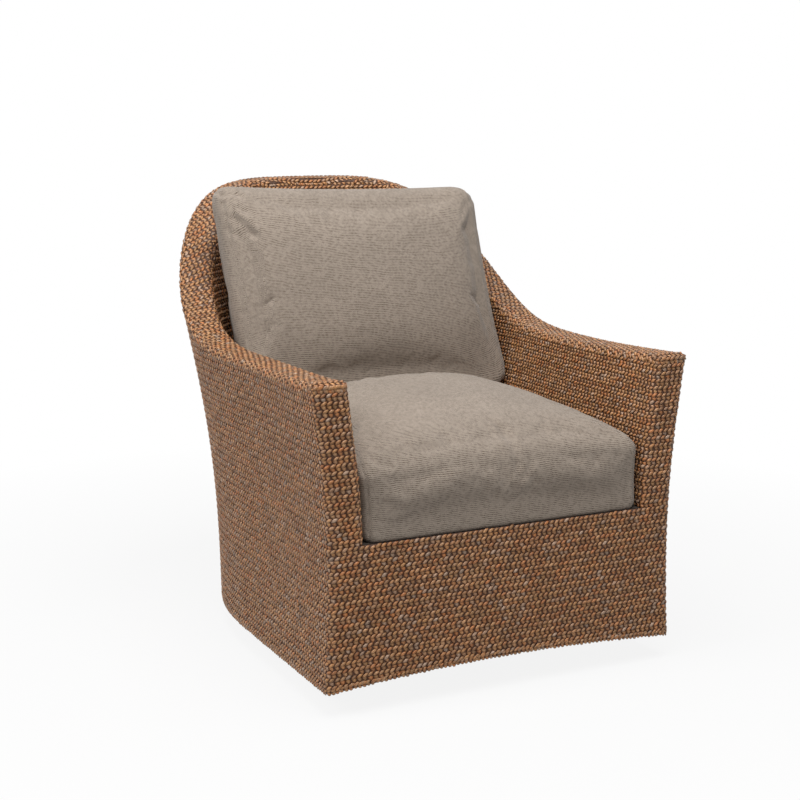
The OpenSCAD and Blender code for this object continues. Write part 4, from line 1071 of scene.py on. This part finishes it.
def cushion(name, node, body, seed, base, rest, widen, shift, folds):
    """One cushion in the place of a node. shift moves it: the top across and up, the top's
    tilt, and the bottom across."""
    piece = merged_copy(name, node)
    co = coordinates(piece.data)
    high = np.clip((co[:, 2] - co[:, 2].min()) / np.ptp(co[:, 2]), 0, 1)
    co[:, 0] = co[:, 0] * widen + mix(shift[3], shift[0], high)
    co[:, 2] += high ** 2 * (shift[1] - shift[2] * co[:, 0])
    set_coordinates(piece.data, co)
    swell(piece, rest)
    co = coordinates(piece.data)
    limit = side_limit(co[:, 1], co[:, 2])
    co[:, 0] = np.clip(co[:, 0], -limit, limit)
    set_coordinates(piece.data, co)
    change(piece, "SMOOTH", factor=0.5, iterations=2)
    if node == "seat_cushion":
        settle(piece)
    change(piece, "SUBSURF", levels=1, render_levels=1)
    sew(piece, seed)
    for fold in folds:
        crease(piece, *fold)
    lay_weave(piece, base)
    piece.data.shade_smooth()
    piece.data.materials.clear()
    piece.data.materials.append(FABRIC)
    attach(piece, body)
    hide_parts(node)


# Folds: lines of places across and up, width and depth
SEAT_FOLDS = (
    (((0.018, 0.480), (0.021, 0.405)), 0.008, 0.0018),
    (((-0.262, 0.455), (-0.235, 0.448)), 0.005, 0.0016),
    (((-0.255, 0.385), (-0.225, 0.375)), 0.008, 0.0012))
BACK_FOLDS = (
    (((-0.303, 0.893), (-0.282, 0.898), (-0.262, 0.891)), 0.0040, 0.0030),
    (((-0.275, 0.868), (-0.255, 0.858), (-0.240, 0.842)), 0.0050, 0.0013),
    (((-0.292, 0.850), (-0.270, 0.838), (-0.252, 0.815)), 0.0060, 0.0014),
    (((-0.298, 0.822), (-0.278, 0.808), (-0.264, 0.780)), 0.0060, 0.0010),
    (((-0.245, 0.872), (-0.205, 0.858), (-0.170, 0.836)), 0.0080, 0.0009),
    (((0.290, 0.872), (0.262, 0.862), (0.240, 0.838)), 0.0055, 0.0012))

cushion("seat_pad", "seat_cushion", "seat_cushion", seed=3.0, base=-pi / 2, rest=0.07,
        widen=1.0, shift=(0, 0, 0, 0), folds=SEAT_FOLDS)
cushion("back_pad", "back_cushion", "back_cushion", seed=8.0, base=0.0, rest=0.16,
        widen=1.08, shift=(-0.010, 0.010, 0.022, 0.006), folds=BACK_FOLDS)

# Stage: a white floor that keeps the chair's shadow, and a white background, lit by a large
# soft lamp overhead and a smaller one at the left.
WORLD_LIGHT = 0.21
TOP_LIGHT = 110
SIDE_LIGHT = 56
FLOOR_HALF = 30
FLOOR_TONE = 0.6
FLOOR_GLOW = 0.88
FADE_REACH = 4.0


def seen_directly(tree):
    """Mask of the rays by which the camera sees a thing, straight, mirrored or through glass."""
    ray = add(tree, "LightPath", {}).outputs
    seen = maths(tree, "MAXIMUM", ray["Is Camera Ray"], ray["Is Transmission Ray"])
    return maths(tree, "MAXIMUM", seen, ray["Is Glossy Ray"])


floor = new_object("floor", bpy.data.meshes.new("floor"))
bm = bmesh.new()
bmesh.ops.create_grid(bm, x_segments=1, y_segments=1, size=FLOOR_HALF)
bm.to_mesh(floor.data)
bm.free()
material, tree, shader = finish("floor_white", Roughness=0.95, Specular_IOR_Level=0.0)
seen = seen_directly(tree)
place = add(tree, "TexCoord", {}).outputs["Object"]
far = add(tree, "VectorMath", {0: place}, operation="LENGTH").outputs["Value"]
fade = ramp(tree, maths(tree, "DIVIDE", far, FADE_REACH), (0.18, 0.0), (0.45, 1.0))
glow = maths(tree, "ADD", maths(tree, "MULTIPLY", fade, 1 - FLOOR_GLOW), FLOOR_GLOW)
own = maths(tree, "SUBTRACT", 1.0, maths(tree, "MULTIPLY", glow, seen))
grey = maths(tree, "MULTIPLY", own, FLOOR_TONE)
tone = add(tree, "CombineColor", {0: grey, 1: grey, 2: grey})
feed(tree, shader, {"Base Color": tone.outputs[0], "Emission Color": (1, 1, 1, 1),
                    "Emission Strength": maths(tree, "MULTIPLY", glow, seen)})
floor.data.materials.append(material)

world = bpy.data.worlds.new("world")
bpy.context.scene.world = world
world.use_nodes = True
tree = world.node_tree
glare = maths(tree, "MULTIPLY", seen_directly(tree), 1 - WORLD_LIGHT)
level = maths(tree, "ADD", glare, WORLD_LIGHT)
feed(tree, tree.nodes["Background"], {"Color": (1, 1, 1, 1), "Strength": level})


def lamp(name, place, size, power):
    """A square soft lamp that looks at the chair's middle."""
    light = new_object(name, bpy.data.lights.new(name, "AREA"))
    light.data.size = size
    light.data.energy = power
    light.location = place
    light.rotation_euler = (LAMP_AIM - Vector(place)).to_track_quat("-Z", "Y").to_euler()


LAMP_AIM = Vector((0, 0, 0.4))
lamp("top_light", (-0.3, -1.0, 3.2), 2.4, TOP_LIGHT)
lamp("side_light", (-3.0, -0.3, 2.7), 1.4, SIDE_LIGHT)

# Camera: stands in front of the chair and to its left, a little above the seat, and looks
# down and to the right, as the photograph does.
CAMERA_PLACE = (-1.40877, -2.88529, 1.07078)
CAMERA_TILT = 10.646624
CAMERA_TURN = 26.330584
CAMERA_LENS = 69.75

camera = new_object("camera", bpy.data.cameras.new("camera"))
camera.data.lens = CAMERA_LENS
camera.data.sensor_width = 36
camera.location = CAMERA_PLACE
camera.rotation_euler = (radians(90 - CAMERA_TILT), 0, radians(-CAMERA_TURN))
bpy.context.scene.camera = camera

bpy.context.scene.view_settings.view_transform = "Standard"
